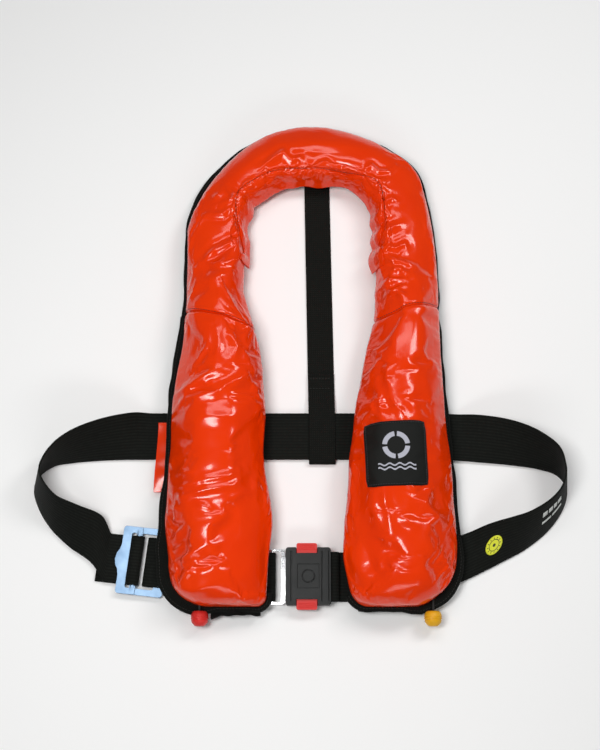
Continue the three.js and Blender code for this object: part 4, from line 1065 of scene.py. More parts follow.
class JACKET_OT_seams(bpy.types.Operator):
    """Sew the shoulder seams and the stitched line round the neck"""

    bl_idname = "jacket.seams"
    bl_label = "Seams"

    def execute(self, context):
        at, grid = made["at"], made["grid"]
        size = context.scene.jacket_fabric.stitch
        yarn = thread("seam_thread", linear("3A1206"))
        normal = grid_normals(grid)
        for side, seam, shift in (("left", LEFT_SEAM, 1), ("right", RIGHT_SEAM, -1)):
            ring = int(np.argmin(np.abs(at - seam))) + shift
            dome = slice(6, 2 * DOME_COLUMNS - 6)
            piece = stitches(
                f"seam_stitches_{side}", grid[ring, dome], normal[ring, dome], size, 0.0003
            )
            belongs(piece, "root", yarn, "black_fabric")
        line = curve_points(FACING_LINE, np.linspace(0, len(FACING_LINE) - 1, 400))
        line = line[40:-40]
        heights = np.array([cover_surface(x, y) for x, y in line])
        soft = np.convolve(np.pad(heights, 4, mode="edge"), np.ones(9) / 9, mode="valid")
        points = np.column_stack([line, np.maximum(soft, heights - 0.0002)])
        piece = stitches("neck_stitches", points, [(0, 0, 1)] * len(points), size, 0.0003)
        belongs(piece, "root", yarn, "black_fabric")
        return {"FINISHED"}


# ---- edging, back panels and linings ----
BINDING_THICKNESS = 0.0046
SEAM_FROM_EDGE = 0.0034  # of the edging's stitches
INNER_EDGE = 0.0055  # edging along a lobe's inner side
BINDING_UNDER = 0.008  # how far the edging reaches in under the cover
END_EDGE = 0.0042  # edging that shows below a lobe's end
PANEL_THICKNESS = 0.0024


def outline_of(side):
    """The cover's outer edge in plan, its height and edging width, taken round a lobe's end."""
    pick = parted(made["at"])[side]
    if side == "right":
        pick = pick[::-1]
    middle, across, reach_out, reach_in, rim, _, edge = cover_outline(pick)
    outer = middle - across * reach_out[:, None]
    if side == "collar":
        return outer, rim, edge
    inner = middle + across * reach_in[:, None]
    turn = int(np.argmax(middle[:, 1] - LOBE_END > CORNER_LEFT[1] + 0.004))
    bottom = np.linspace(inner[0], outer[0], 24)[1:-1]
    line = np.concatenate([inner[:turn][::-1], bottom, outer])
    rims = np.concatenate([rim[:turn][::-1], np.full(len(bottom), rim[0]), rim])
    corner_edge = edge * (1 - 0.25 * np.exp(-(((middle[:, 1] - LOBE_END) / 0.01) ** 2)))
    edges = np.concatenate([
        np.full(turn, INNER_EDGE),
        np.linspace(INNER_EDGE, END_EDGE, len(bottom)),
        1.15 * corner_edge,
    ])
    soft = np.ones(9) / 9
    edges = np.convolve(np.pad(edges, 4, mode="edge"), soft, mode="valid")
    return line, rims, edges


def outward_of(line):
    """Unit directions in plan that point away from the horseshoe's middle line."""
    way = np.gradient(line, axis=0)
    out = np.stack([-way[:, 1], way[:, 0]], axis=1)
    out /= np.maximum(np.linalg.norm(out, axis=1, keepdims=True), 1e-9)
    return out


def tape_rings(line, out, rims, near, far, low, high, columns=7):
    """Rings of a flat tape with a round outer lip, lying along a line."""
    rings = []
    for p, n, rim, a, b in zip(line, out, rims, near, far):
        half = (high - low) / 2
        section = [(d, low) for d in np.linspace(a, b - half, columns)]
        section += [(b - half + half * math.sin(t), low + half - half * math.cos(t))
                    for t in np.linspace(0.35, math.pi - 0.35, 6)]
        section += [(d, high) for d in np.linspace(b - half, a, columns)]
        rings.append([(p[0] + n[0] * d, p[1] + n[1] * d, rim + z) for d, z in section])
    return np.array(rings)


def along_uv(rings, step):
    """A map in metres: along the piece, and round its section."""
    rings = np.asarray(rings)
    walked = np.concatenate(
        [[0], np.cumsum(np.linalg.norm(np.diff(rings.mean(1), axis=0), axis=1))]
    )
    around = np.concatenate(
        [[0], np.cumsum(np.linalg.norm(np.diff(rings[len(rings) // 2], axis=0), axis=1))]
    )
    return np.stack(np.broadcast_arrays(walked[:, None], around[None, :]), axis=2) * step


class JACKET_OT_edging(bpy.types.Operator):
    """Bind the outer edge with black tape, stitch it, and back the cover with black fabric"""

    bl_idname = "jacket.edging"
    bl_label = "Edging and back panels"

    def execute(self, context):
        look = context.scene.jacket_fabric
        # Folded tape shows fine ribs across it, the backing a closer plain weave.
        tape = woven_black("bias_binding_tape", look, 0.0016, 0.0011)
        backing = woven_black("polyester_backing", look, 0.0012, 0.0012, 0.00015)
        yarn = thread("edge_thread", linear("232522"))
        for side in ("left", "collar", "right"):
            line, rims, edges = outline_of(side)
            out = outward_of(line)
            if side == "right":
                out = -out
            edges = edges + 0.0007 * waves(line, 0.035, 21) + 0.0003
            ripple = 0.0006 * waves(line, 0.022, 22)
            rings = tape_rings(
                line, out, rims + ripple, np.full(len(line), -BINDING_UNDER), edges,
                0.0002, BINDING_THICKNESS,
            )
            piece = tube_piece(f"binding_tape_{side}", rings, along_uv(rings, 1))
            belongs(piece, "root", tape, "black_fabric", f"edge_binding_{side}")
            seam = [(p[0] + n[0] * (e - SEAM_FROM_EDGE), p[1] + n[1] * (e - SEAM_FROM_EDGE),
                     r + BINDING_THICKNESS)
                    for p, n, e, r in zip(line, out, edges, rims + ripple)]
            piece = stitches(
                f"edge_stitches_{side}", seam, [(0, 0, 1)] * len(seam), look.stitch, 0.0003
            )
            belongs(piece, "root", yarn, "black_fabric")
            self.back(side, backing)
        return {"FINISHED"}

    def back(self, side, material):
        pick = parted(made["at"])[side]
        middle, across, reach_out, reach_in, rim, _, edge = cover_outline(pick[::2])
        near = -(reach_out + edge - 0.001)
        far = TUCK * reach_in + 0.0015
        rings = []
        for m, a, n, f, r in zip(middle, across, near, far, rim):
            top, low = r - GAP, r - GAP - PANEL_THICKNESS
            mid = (top + low) / 2
            section = [(u, top) for u in np.linspace(n + 0.001, f - 0.001, 12)]
            section += [(f, mid)]
            section += [(u, low) for u in np.linspace(f - 0.001, n + 0.001, 12)]
            section += [(n, mid)]
            rings.append([(m[0] + a[0] * u, m[1] + a[1] * u, z) for u, z in section])
        rings = np.array(rings)
        piece = tube_piece(f"backing_{side}", rings, along_uv(rings, 1))
        belongs(piece, "root", material, "black_fabric", f"back_panel_{side}")


class JACKET_OT_lining(bpy.types.Operator):
    """Lay the facing round the neck and the folded bladder inside the cover"""

    bl_idname = "jacket.lining"
    bl_label = "Neck facing and bladder"

    def execute(self, context):
        at, grid = made["at"], made["grid"]
        normal = grid_normals(grid)
        skin = bpy.data.materials["pvc_coated_fabric"]
        first, last = (int(np.argmin(np.abs(at - s))) for s in (FACING_FROM, FACING_TO))
        rows = []
        for i in range(first, last + 1):
            ring, up = grid[i], normal[i]
            dome = ring[: 2 * DOME_COLUMNS - 2]
            gap, _ = distance_to(FACING_LINE, dome[:, :2])
            top = DOME_COLUMNS + int(np.argmin(gap[DOME_COLUMNS:]))
            spots = np.linspace(top + 1.5, 2 * DOME_COLUMNS - 3.5, 26)
            count = np.arange(len(dome))
            face = np.stack([np.interp(spots, count, dome[:, c]) for c in range(3)], 1)
            away = np.stack([np.interp(spots, count, up[: len(dome), c]) for c in range(3)], 1)
            away /= np.linalg.norm(away, axis=1, keepdims=True)
            rows.append((face, away))
        faces = np.array([r[0] for r in rows])
        aways = np.array([r[1] for r in rows])
        fall = np.linspace(0, 1, faces.shape[1])[None, :]
        puff = 0.0012 + 0.0012 * fall * (1 + waves(faces.reshape(-1, 3), 0.026, 31)).reshape(
            faces.shape[:2]
        ).clip(0, 2)
        outer = faces + aways * puff[:, :, None]
        inner = faces + aways * 0.0004
        # the facing rolls on under the cover and hides the panel's edge
        under = smooth(0.72, 1.0, fall)[:, :, None]
        roll = aways * np.array([1, 1, 0]) * 0.0026 - np.array([0, 0, 0.0036])
        outer, inner = outer + under * roll, inner + under * roll
        outer[:, :, 2] = np.maximum(outer[:, :, 2], 0.0006)
        inner[:, :, 2] = np.maximum(inner[:, :, 2], 0.0009)
        rings = np.concatenate([outer, inner[:, ::-1]], axis=1)
        piece = tube_piece("facing_round_neck", rings)
        belongs(piece, "root", skin, "orange_pvc", "neck_facing")

        # Polyurethane-coated nylon is yellow, with a dull gloss.
        film = speckled("coated_bladder_fabric", linear("F2B51C"), 0.5, 0.0015, 0.3)
        coarse = grid[24:-24:6, ::3]
        middle = coarse.mean(1, keepdims=True) + np.array([0, 0, 0.003])
        inside = middle + (coarse - middle) * np.array([0.7, 0.7, 0.62])
        piece = tube_piece("folded_bladder", inside)
        belongs(piece, "root", film, "bladder_film", "bladder")
        return {"FINISHED"}


# ---- webbing ----
def arc(x, y, radius, start, end, steps=6):
    return [(x + radius * math.cos(a), y + radius * math.sin(a))
            for a in np.radians(np.linspace(start, end, steps + 1))]


def strip_path(line, size, matrix=Matrix.Identity(4), fine=4):
    """Lower edge and width direction of webbing that stays square to one plane."""
    line = curve_points(line, np.linspace(0, len(line) - 1, (len(line) - 1) * fine + 1))
    lower = np.array([matrix @ Vector((x, -size / 2, z)) for x, z in line])
    wide = np.array([matrix.to_3x3() @ Vector((0, 1, 0))] * len(line))
    return lower, wide


def belt_rows(at):
    """Lower edge and width direction of the waist belt at places along its rows."""
    ends = []
    for u in (-0.034, -0.033):
        place = ADJUSTER_MATRIX @ Vector((u, -WEBBING_WIDTH / 2, 0.0033))
        wide = ADJUSTER_MATRIX.to_3x3() @ Vector((0, 1, 0))
        ends.append((*place, wide.x, wide.y))
    rows = np.array([*BELT_ROWS, *ends])
    lower = curve_points(rows[:, :3], at)
    rise = np.sqrt(np.clip(1 - (rows[:, 3:] ** 2).sum(1), 0, 1))
    wide = curve_points(np.column_stack([rows[:, 3:], rise]), at)
    wide /= np.linalg.norm(wide, axis=1, keepdims=True)
    return lower, wide


def webbing(name, lower, wide, size, thickness=WEBBING_THICKNESS):
    """A woven strap along a path, with round selvedges and a map in metres."""
    way = np.gradient(lower + wide * size / 2, axis=0)
    face = np.cross(way, wide)
    face /= np.linalg.norm(face, axis=1, keepdims=True)
    half = thickness / 2
    spread = np.linspace(half, size - half, 12)
    section = [(v, half) for v in spread]
    section += [(size - half + half * math.cos(t), half * math.sin(t)) for t in (0.9, 0, -0.9)]
    section += [(v, -half) for v in spread[::-1]]
    section += [(half + half * math.cos(t), half * math.sin(t)) for t in (-2.25, math.pi, 2.25)]
    section = np.array(section)
    rings = (lower[:, None] + wide[:, None] * section[None, :, :1]
             + face[:, None] * section[None, :, 1:])
    walked = np.concatenate(
        [[0], np.cumsum(np.linalg.norm(np.diff(lower + wide * size / 2, axis=0), axis=1))]
    )
    uvs = np.stack(np.broadcast_arrays(walked[:, None], section[None, :, 0]), axis=2)
    return tube_piece(name, rings, uvs)


class JACKET_OT_webbing(bpy.types.Operator):
    """Weave the waist belt, the back strap and the two short straps at the front"""

    bl_idname = "jacket.webbing"
    bl_label = "Belt and straps"

    def execute(self, context):
        look = context.scene.jacket_fabric
        # The narrow strap is ribbed across its length, the belt more finely and along it too.
        woven = woven_black("polyester_webbing", look, look.rib, 0.0021)
        belt_weave = woven_black("polyester_belt_webbing", look, 0.0013, 0.0032, 0.0002)
        self.belt(belt_weave)
        self.back_strap(woven, look)
        self.front_straps(belt_weave)
        return {"FINISHED"}

    def belt(self, material):
        plate = ADJUSTER_PLATE_Z
        wrap = BAR_RADIUS + GAP + WEBBING_THICKNESS / 2
        bar = ADJUSTER_BAR_AT
        at_buckle = Matrix.Translation((0, BUCKLE_AT.y, 0))
        turn = [
            (0.013, 2 * BUCKLE_BAR_Z - FRONT_Z),
            *arc(BUCKLE_BAR_X, BUCKLE_BAR_Z, BUCKLE_BAR_Z - FRONT_Z, 90, 270, 8),
            (0.020, FRONT_Z),
        ]
        through = [
            (-0.020, 0.0033),
            (-0.0145, 0.0033),
            *arc(-0.013, plate - 0.0002, 0.0024, -75, -20, 3),
            *arc(bar - 0.0015, plate, wrap, 172, 90, 5),
            *arc(bar, plate, wrap, 80, -90, 9),
            (-0.020, plate - wrap),
            (-0.044, plate - wrap),
        ]
        rows = len(BELT_ROWS) + 1
        paths = [
            strip_path(turn, WEBBING_WIDTH, at_buckle),
            belt_rows(np.linspace(0, rows, rows * 8 + 1)),
            strip_path(through, WEBBING_WIDTH, ADJUSTER_MATRIX),
        ]
        lower, wide = (np.concatenate([p[k] for p in paths]) for k in (0, 1))
        piece = webbing("woven_waist_belt", lower, wide, WEBBING_WIDTH)
        belongs(piece, "root", material, "black_webbing", "waist_belt")

    def back_strap(self, material, look):
        """The strap slants a little, and is doubled where it is sewn round the belt."""
        size = BACK_STRAP_WIDTH
        half = WEBBING_THICKNESS / 2
        line = [(y, half) for y in np.linspace(0.325, -0.026, 30)]
        line += arc(-0.027, BELT_Z, BELT_Z - half, -90, -270, 6)[1:]
        line += [(0.010, 2 * BELT_Z - half), (0.036, 2 * BELT_Z - half), (0.046, BELT_Z + 0.0001),
                 (0.068, BELT_Z)]
        turn = Matrix.Rotation(math.pi / 2, 4, "Z")
        lower, wide = strip_path(line, size, turn)
        lower[:, 0] -= 0.003 + 0.0165 * np.clip(lower[:, 1], 0, 0.33)
        piece = webbing("woven_back_strap", lower, wide, size)
        belongs(piece, "root", material, "black_webbing", "back_strap")
        yarn = thread("strap_thread", linear("1C1F1C"))
        height = BELT_Z + WEBBING_THICKNESS / 2
        lines = []
        for y in (0.052, 0.063):
            lines.append([(x - 0.0042, y, height) for x in np.linspace(-0.012, 0.012, 12)])
        for k, line in enumerate(lines):
            piece = stitches(f"strap_stitches_{k + 1}", line, [(0, 0, 1)] * 12, look.stitch)
            belongs(piece, "root", yarn, "black_webbing")

    def front_straps(self, material):
        """The left strap lies loosely round the adjuster's rail, the other round the tongue's."""
        left = [
            (0.102, 0.0023), (0.046, 0.0023), (0.029, 0.0026), (0.013, 0.0022), (0.0072, 0.0034),
            (0.0060, 0.0062), (0.0100, 0.0086), (0.0180, 0.0094), (0.028, 0.0086),
            (0.037, 0.0064), (0.048, 0.005),
        ]
        lower, wide = strip_path(left, WEBBING_WIDTH, ADJUSTER_MATRIX)
        piece = webbing("woven_left_strap", lower, wide, WEBBING_WIDTH)
        belongs(piece, "root", material, "black_webbing", "front_left_strap")
        bar = BUCKLE_AT.x - 0.023 - GAP - 0.0175 + 0.0045
        layer = 0.0012 + GAP + WEBBING_THICKNESS / 2
        loop = [
            (-0.106, 0.0046), (-0.072, 0.0046), (bar - 0.006, TONGUE_Z - layer),
            *arc(bar, TONGUE_Z, layer, -90, 90, 6),
            (bar - 0.0055, TONGUE_Z + layer), (-0.074, 0.0075), (-0.106, 0.0074),
        ]
        size = WEBBING_WIDTH - 0.001
        lower, wide = strip_path(loop, size, Matrix.Translation((0, BUCKLE_AT.y, 0)))
        piece = webbing("woven_tongue_loop", lower, wide, size)
        belongs(piece, "tongue", material, "black_webbing", "tongue_webbing_loop")


class JACKET_OT_small_fabric(bpy.types.Operator):
    """Sew the belt's tunnels and keeper and the ends of the closure tape"""

    bl_idname = "jacket.small_fabric"
    bl_label = "Tunnels, keeper and closure ends"

    def execute(self, context):
        look = context.scene.jacket_fabric
        backing = bpy.data.materials["polyester_backing"]
        for name in ("back_tunnel_left", "back_tunnel_right",
                     "front_tunnel_left", "front_tunnel_right"):
            piece = node_copy(f"sewn_{name}", name)
            round_edges(piece, 0.0003, 2)
            self.map_plan(piece)
            belongs(piece, "root", backing, "black_fabric", name)
        self.keeper(context)
        # Hook tape is a field of small stiff loops, rougher than the weave.
        hooks = woven_black("hook_tape", look, 0.0019, 0.0019, 0.0006)
        for side, folds in (("left", 0.0022), ("right", 0.0008)):
            self.closure_end(side, folds, hooks)
        return {"FINISHED"}

    def map_plan(self, piece):
        """A map in metres from above, with the sides spread by height."""
        layer = piece.data.uv_layers.new(name="cloth")
        for loop in piece.data.loops:
            p = piece.data.vertices[loop.vertex_index].co
            layer.data[loop.index].uv = (p.x + p.z, p.y + p.z)

    def keeper(self, context):
        low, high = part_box("belt_keeper_left")
        piece = start_box("keeper_tab", low, high)
        cut_planes(piece, 0, np.linspace(low.x, high.x, 8)[1:-1])
        cut_planes(piece, 1, np.linspace(low.y, high.y, 18)[1:-1])
        round_edges(piece, 0.0005, 2)
        points = coordinates(piece)
        points[:, 2] += 0.0012 * (1 + waves(points[:, :2], 0.03, 41))
        points[:, 0] -= 0.0015 * np.cos((points[:, 1] - low.y) / (high.y - low.y) * math.pi)
        move_to(piece, points)
        belongs(piece, "root", bpy.data.materials["pvc_coated_fabric"], "orange_pvc",
                "belt_keeper_left")

    def closure_end(self, side, folds, material):
        low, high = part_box(f"closure_tape_end_{side}")
        piece = start_box(f"hook_tape_end_{side}", low, high)
        cut_planes(piece, 0, np.linspace(low.x, high.x, 26)[1:-1])
        cut_planes(piece, 1, np.linspace(low.y, high.y, 5)[1:-1])
        cut_planes(piece, 2, np.linspace(low.z, high.z, 5)[1:-1])
        round_edges(piece, 0.0008, 2)
        points = coordinates(piece)
        shift = waves(points, 0.016, 51)
        points[:, 1] += folds * shift - 0.0004
        points[:, 2] += folds * 0.8 * waves(points, 0.014, 52)
        move_to(piece, points)
        self.map_plan(piece)
        belongs(piece, "root", material, "black_fabric", f"closure_tape_end_{side}")


# ---- marks ----
def belt_patch(name, rows, widths, lift, thickness):
    """A thin closed piece on the belt's outer face between two rows and two widths."""
    at = np.linspace(*rows, max(3, int((rows[1] - rows[0]) * 14)))
    lower, wide = belt_rows(at)
    way = np.gradient(lower + wide * WEBBING_WIDTH / 2, axis=0)
    face = np.cross(way, wide)
    face /= np.linalg.norm(face, axis=1, keepdims=True)
    across = np.linspace(*widths, 4)
    rings = []
    for p, w, f in zip(lower, wide, face):
        rings.append([p + w * v + f * (lift + thickness) for v in across]
                     + [p + w * v + f * lift for v in across[::-1]])
    return tube_piece(name, rings)


class JACKET_OT_marks(bpy.types.Operator):
    """Sew on the label patch and put the sticker and the printed marks on the belt"""

    bl_idname = "jacket.marks"
    bl_label = "Label, sticker and print"

    def execute(self, context):
        look = context.scene.jacket_fabric
        self.patch(look)
        self.sticker()
        self.print_marks()
        return {"FINISHED"}

    def patch(self, look):
        centre, turn, half = PATCH_CENTRE, PATCH_TURN, PATCH_HALF
        steps = 34
        us = np.linspace(-1, 1, steps)
        top, low, uvs = [], [], []
        for v in us:
            for u in us:
                # small round corners
                pull = 1 - 0.035 * max(0, abs(u) + abs(v) - 1.75) / 0.25
                a, b = u * half[0] * pull, v * half[1] * pull
                x = centre.x + a * math.cos(turn) - b * math.sin(turn)
                y = centre.y + a * math.sin(turn) + b * math.cos(turn)
                height = max(cover_surface(x + i, y + j) for i, j in
                             ((0, 0), (0.002, 0), (-0.002, 0), (0, 0.002), (0, -0.002)))
                rim = 1 - smooth(0.93, 1.0, max(abs(u), abs(v)))
                top.append((x, y, height + 0.0004 + 0.0007 * rim))
                low.append((x, y, height - 0.0012))
                uvs.append((a, b))
        count = steps * steps
        faces = grid_faces(steps, steps, closed=False)
        under = [tuple(count + k for k in reversed(f)) for f in faces]
        edge = (list(range(steps)) + [r * steps + steps - 1 for r in range(1, steps)]
                + [count - 2 - k for k in range(steps - 1)]
                + [r * steps for r in range(steps - 2, 0, -1)])
        walls = [(edge[k], edge[(k + 1) % len(edge)], count + edge[(k + 1) % len(edge)],
                  count + edge[k]) for k in range(len(edge))]
        piece = mesh_piece("woven_label_patch", top + low, faces + under + walls, uvs + uvs)
        outward(piece)
        belongs(piece, "root", woven_label(look), "label_weave", "label_patch")
        points = np.array(top).reshape(steps, steps, 3)
        inner = points[1:-1, 1:-1]
        loop = np.concatenate([inner[0], inner[1:, -1], inner[-1, -2::-1], inner[-2:0:-1, 0]])
        loop = loop + np.array([0, 0, 0.0003])
        piece = stitches("label_stitches", loop, [(0, 0, 1)] * len(loop), 0.0026, 0.0003)
        belongs(piece, "root", thread("label_thread", linear("34363A")), "label_weave")

    def sticker(self):
        radius, thick = STICKER_RADIUS, 0.0003
        lift = WEBBING_THICKNESS / 2 + GAP
        row = ROW_LENGTH
        turns = np.linspace(0, 2 * math.pi, 49)[:-1]
        spots = []
        for share_out in np.linspace(0.1, 1, 10):
            for a in turns:
                spots.append((radius * share_out * math.cos(a), radius * share_out * math.sin(a)))
        spots = np.array(spots)
        lower, wide = belt_rows(STICKER_ROW + spots[:, 0] / row)
        ahead, _ = belt_rows(STICKER_ROW + spots[:, 0] / row + 0.02)
        face = np.cross(ahead - lower, wide)
        face /= np.linalg.norm(face, axis=1, keepdims=True)
        on = lower + wide * (WEBBING_WIDTH / 2 + spots[:, 1:])
        top, low = on + face * (lift + thick), on + face * (lift - 0.0004)
        uvs = 0.5 + spots / (2 * radius)
        count = len(spots)
        sides = len(turns)
        faces = grid_faces(count // sides, sides)
        faces += [tuple(range(sides))[::-1]]
        under = [tuple(count + k for k in reversed(f)) for f in faces]
        last = count - sides
        walls = [(last + j, last + (j + 1) % sides, count + last + (j + 1) % sides,
                  count + last + j) for j in range(sides)]
        piece = mesh_piece(
            "inspection_sticker_disc", np.vstack([top, low]), faces + under + walls,
            np.vstack([uvs, uvs]),
        )
        outward(piece)
        belongs(piece, "root", printed_sticker(), "yellow_label", "inspection_sticker")

    def print_marks(self):
        """Plain printed dashes, in two rows along the belt."""
        # Screen ink lies thin and dull on the weave.
        ink = speckled("white_screen_print", linear("C9CCC8"), 0.6, 0.0006, 0.2)
        lift = WEBBING_THICKNESS / 2 - 0.0001
        marks = [
            (5.55, 5.75, 0.031, 0.037), (5.82, 6.02, 0.031, 0.037), (6.09, 6.29, 0.031, 0.037),
            (6.36, 6.62, 0.031, 0.037), (5.55, 5.95, 0.021, 0.024), (6.02, 6.62, 0.021, 0.024),
        ]
        for k, (first, last, low, high) in enumerate(marks):
            piece = belt_patch(f"printed_dash_{k + 1}", (first, last), (low, high), lift, 0.0003)
            belongs(piece, "root", ink, "black_webbing")


# ---- the buckle, the adjuster and the pulls ----
class JACKET_OT_buckle(bpy.types.Operator):
    """Mould the buckle's shells and buttons, and form its steel tongue"""

    bl_idname = "jacket.buckle"
    bl_label = "Buckle"

    def execute(self, context):
        look = context.scene.jacket_hardware
        black = acetal("moulded_black_acetal", look.black)
        red = acetal("moulded_red_acetal", look.red)
        low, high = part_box("buckle_front_shell")
        shell = node_copy("buckle_face", "buckle_front_shell")
        deep = high.z - 0.0009
        for x0, x1 in BUCKLE_GROOVES:
            carve(shell, (x0, low.y + 0.004, deep), (x1, high.y - 0.004, high.z + 0.002))
        round_edges(shell, look.edge, 3, 40)
        belongs(shell, "root", black, "black_plastic", "buckle_front_shell")
        back = node_copy("buckle_back", "buckle_rear_shell")
        round_edges(back, 0.0006, 2, 40)
        belongs(back, "root", black, "black_plastic", "buckle_rear_shell")
        self.badge(black, high.z)
        for side, way in (("top", 1), ("bottom", -1)):
            name = f"release_button_{side}"
            low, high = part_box(name)
            button = node_copy(f"button_{side}", name)
            edge = high.y if way > 0 else low.y
            for step in BUTTON_GRIPS:
                y = edge - way * step
                carve(button, (low.x + 0.002, y - 0.0004, high.z - 0.0005),
                      (high.x - 0.002, y + 0.0004, high.z + 0.001))
            round_edges(button, 0.0007, 3, 40)
            belongs(button, f"button_{side}", red, "red_plastic", name)
        ring = node_copy("tongue_plate", "buckle_tongue")
        round_edges(ring, 0.0008, 3, 40)
        belongs(ring, "tongue", polished_steel(), "polished_steel", "buckle_tongue")
        return {"FINISHED"}

    def badge(self, material, top):
        """A plain raised ring in the recess."""
        bpy.ops.object.select_all(action="DESELECT")
        place = (BUCKLE_AT.x, BUCKLE_AT.y, top - 0.0008)
        bpy.ops.mesh.primitive_torus_add(
            major_radius=0.0062, minor_radius=0.0007, major_segments=40, minor_segments=8,
            location=place,
        )
        piece = bpy.context.object
        piece.name = piece.data.name = "buckle_badge"
        bpy.ops.object.mode_set(mode="EDIT")
        bpy.ops.mesh.select_all(action="SELECT")
        bpy.ops.transform.resize(value=(1, 1, 0.7), center_override=place)
        bpy.ops.object.mode_set(mode="OBJECT")
        bpy.ops.object.transform_apply(location=True, rotation=True, scale=True)
        for face in piece.data.polygons:
            face.use_smooth = True
        belongs(piece, "root", material, "black_plastic")


class JACKET_OT_adjuster(bpy.types.Operator):
    """Press the adjuster's frame and knurl its floating bar"""

    bl_idname = "jacket.adjuster"
    bl_label = "Adjuster"

    def execute(self, context):
        look = context.scene.jacket_hardware
        zinc = zinc_plated_steel(look)
        plate = node_copy("adjuster_plate", "adjuster_frame")
        round_edges(plate, 0.0009, 3, 40)
        belongs(plate, "root", zinc, "zinc_steel", "adjuster_frame")
        ends = node_copy("adjuster_bar_body", "adjuster_bar")
        round_edges(ends, 0.0004, 2, 50)
        belongs(ends, "sliding_bar", zinc, "zinc_steel", "adjuster_bar")
        # a diamond knurl stands on the bar, coarse enough to show
        end = KNURL_LENGTH / 2
        steps = [(v, BAR_RADIUS + 0.0001) for v in np.linspace(-end, end, 70)]
        knurl = turned_piece("adjuster_bar_knurl", (0, 0, 0), (0, 1, 0), steps, 48)
        points = coordinates(knurl)
        around = np.arctan2(points[:, 2], points[:, 0])
        away = np.linalg.norm(points[:, [0, 2]], axis=1)
        along = points[:, 1] * math.pi / KNURL_PITCH
        cut = np.abs(np.sin(5 * around + along)) * np.abs(np.sin(5 * around - along))
        size = np.where(away > 0.001, 1 + 0.09 * cut, 1)
        points[:, 0] *= size
        points[:, 2] *= size
        move_to(knurl, points)
        place = Matrix.Translation((ADJUSTER_BAR_AT, 0, ADJUSTER_PLATE_Z))
        knurl.data.transform(ADJUSTER_MATRIX @ place)
        belongs(knurl, "sliding_bar", zinc, "zinc_steel")
        return {"FINISHED"}


class JACKET_OT_pulls(bpy.types.Operator):
    """Turn the two pull knobs and braid their cords"""

    bl_idname = "jacket.pulls"
    bl_label = "Pulls"

    def execute(self, context):
        look = context.scene.jacket_hardware
        rows = (
            ("left", "red_pull", "red_plastic", acetal("glossy_red_knob", look.red)),
            ("right", "yellow_pull", "yellow_plastic", acetal("glossy_yellow_knob", look.yellow)),
        )
        # A fine braid catches little light; its crossings are in the mesh.
        braid = speckled("braided_polyester_cord", linear("1B1D1B"), 0.7, 0.0008, 0.5)
        for side, body, slot, material in rows:
            low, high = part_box(f"pull_knob_{side}")
            middle = (low + high) / 2
            knob = turned_piece(
                f"turned_knob_{side}", (middle.x, high.y, middle.z), (0, 1, 0), KNOB_PROFILE, 40
            )
            belongs(knob, body, material, slot, f"pull_knob_{side}")
            self.cord(side, body, braid)
        return {"FINISHED"}

    def cord(self, side, body, material):
        low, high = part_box(f"pull_cord_{side}")
        radius = (high.x - low.x) / 2
        x = (low.x + high.x) / 2
        start = Vector((x, high.y, high.z - radius))
        end = Vector((x, low.y, low.z + radius))
        rings = []
        for t in np.linspace(0, 1, 44):
            middle = start.lerp(end, float(t))
            ring = []
            for a in np.linspace(0, 2 * math.pi, 17)[:-1]:
                swell = 1 - 0.12 * abs(math.sin(2 * a + 40 * t)) * abs(math.sin(2 * a - 40 * t))
                ring.append(middle + radius * swell * Vector((math.cos(a), 0, math.sin(a))))
            rings.append(ring)
        piece = tube_piece(f"braided_cord_{side}", rings)
        belongs(piece, body, material, "black_fabric", f"pull_cord_{side}")


class JACKET_OT_finishes(bpy.types.Operator):
    """Give the carried-over parts inside the cover and the buckle their real finishes"""

    bl_idname = "jacket.finishes"
    bl_label = "Inner parts"

    def execute(self, context):
        look = context.scene.jacket_hardware
        # Drawn spring wire is a warm, slightly drawn-out grey.
        spring = speckled("spring_steel", linear("A9A7A2"), 0.3, 0.001, 0.15, Metallic=1.0)
        steel = bpy.data.materials["polished_stainless_steel"]
        black = bpy.data.materials["moulded_black_acetal"]
        # Powder coat cures with a fine orange peel.
        green = speckled("powder_coated_cylinder", linear("3F6E4C"), 0.35, 0.0012, 0.3)
        # Moulded rubber is nearly matt.
        rubber = speckled("moulded_rubber", linear("1A1A1A"), 0.65, 0.001, 0.3)
        yellow = acetal("moulded_yellow_acetal", look.yellow)
        finish = {
            "buckle_webbing_bar": steel,
            "latch_pawl_top": steel,
            "latch_pawl_bottom": steel,
            "spring_rib": black,
            "gas_cylinder_left": green,
            "gas_cylinder_right": green,
            "inflator_body_left": black,
            "inflator_body_right": black,
            "inflator_lever_left": bpy.data.materials["moulded_red_acetal"],
            "inflator_lever_right": yellow,
            "lever_pin_left": steel,
            "lever_pin_right": steel,
            "oral_tube": rubber,
            "oral_valve_body": black,
            "oral_valve_cap": bpy.data.materials["moulded_red_acetal"],
            "whistle": yellow,
        }
        for side, way in (("top", -1), ("bottom", 1)):
            coil = node_copy(f"coil_spring_{side}", f"button_spring_{side}")
            belongs(coil, "root", spring, "polished_steel", f"button_spring_{side}")
            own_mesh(coil)
        for name, material in finish.items():
            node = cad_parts[name]
            for place in node.material_slots:
                place.material = material
            if not node.material_slots:
                node.data.materials.append(material)
        return {"FINISHED"}


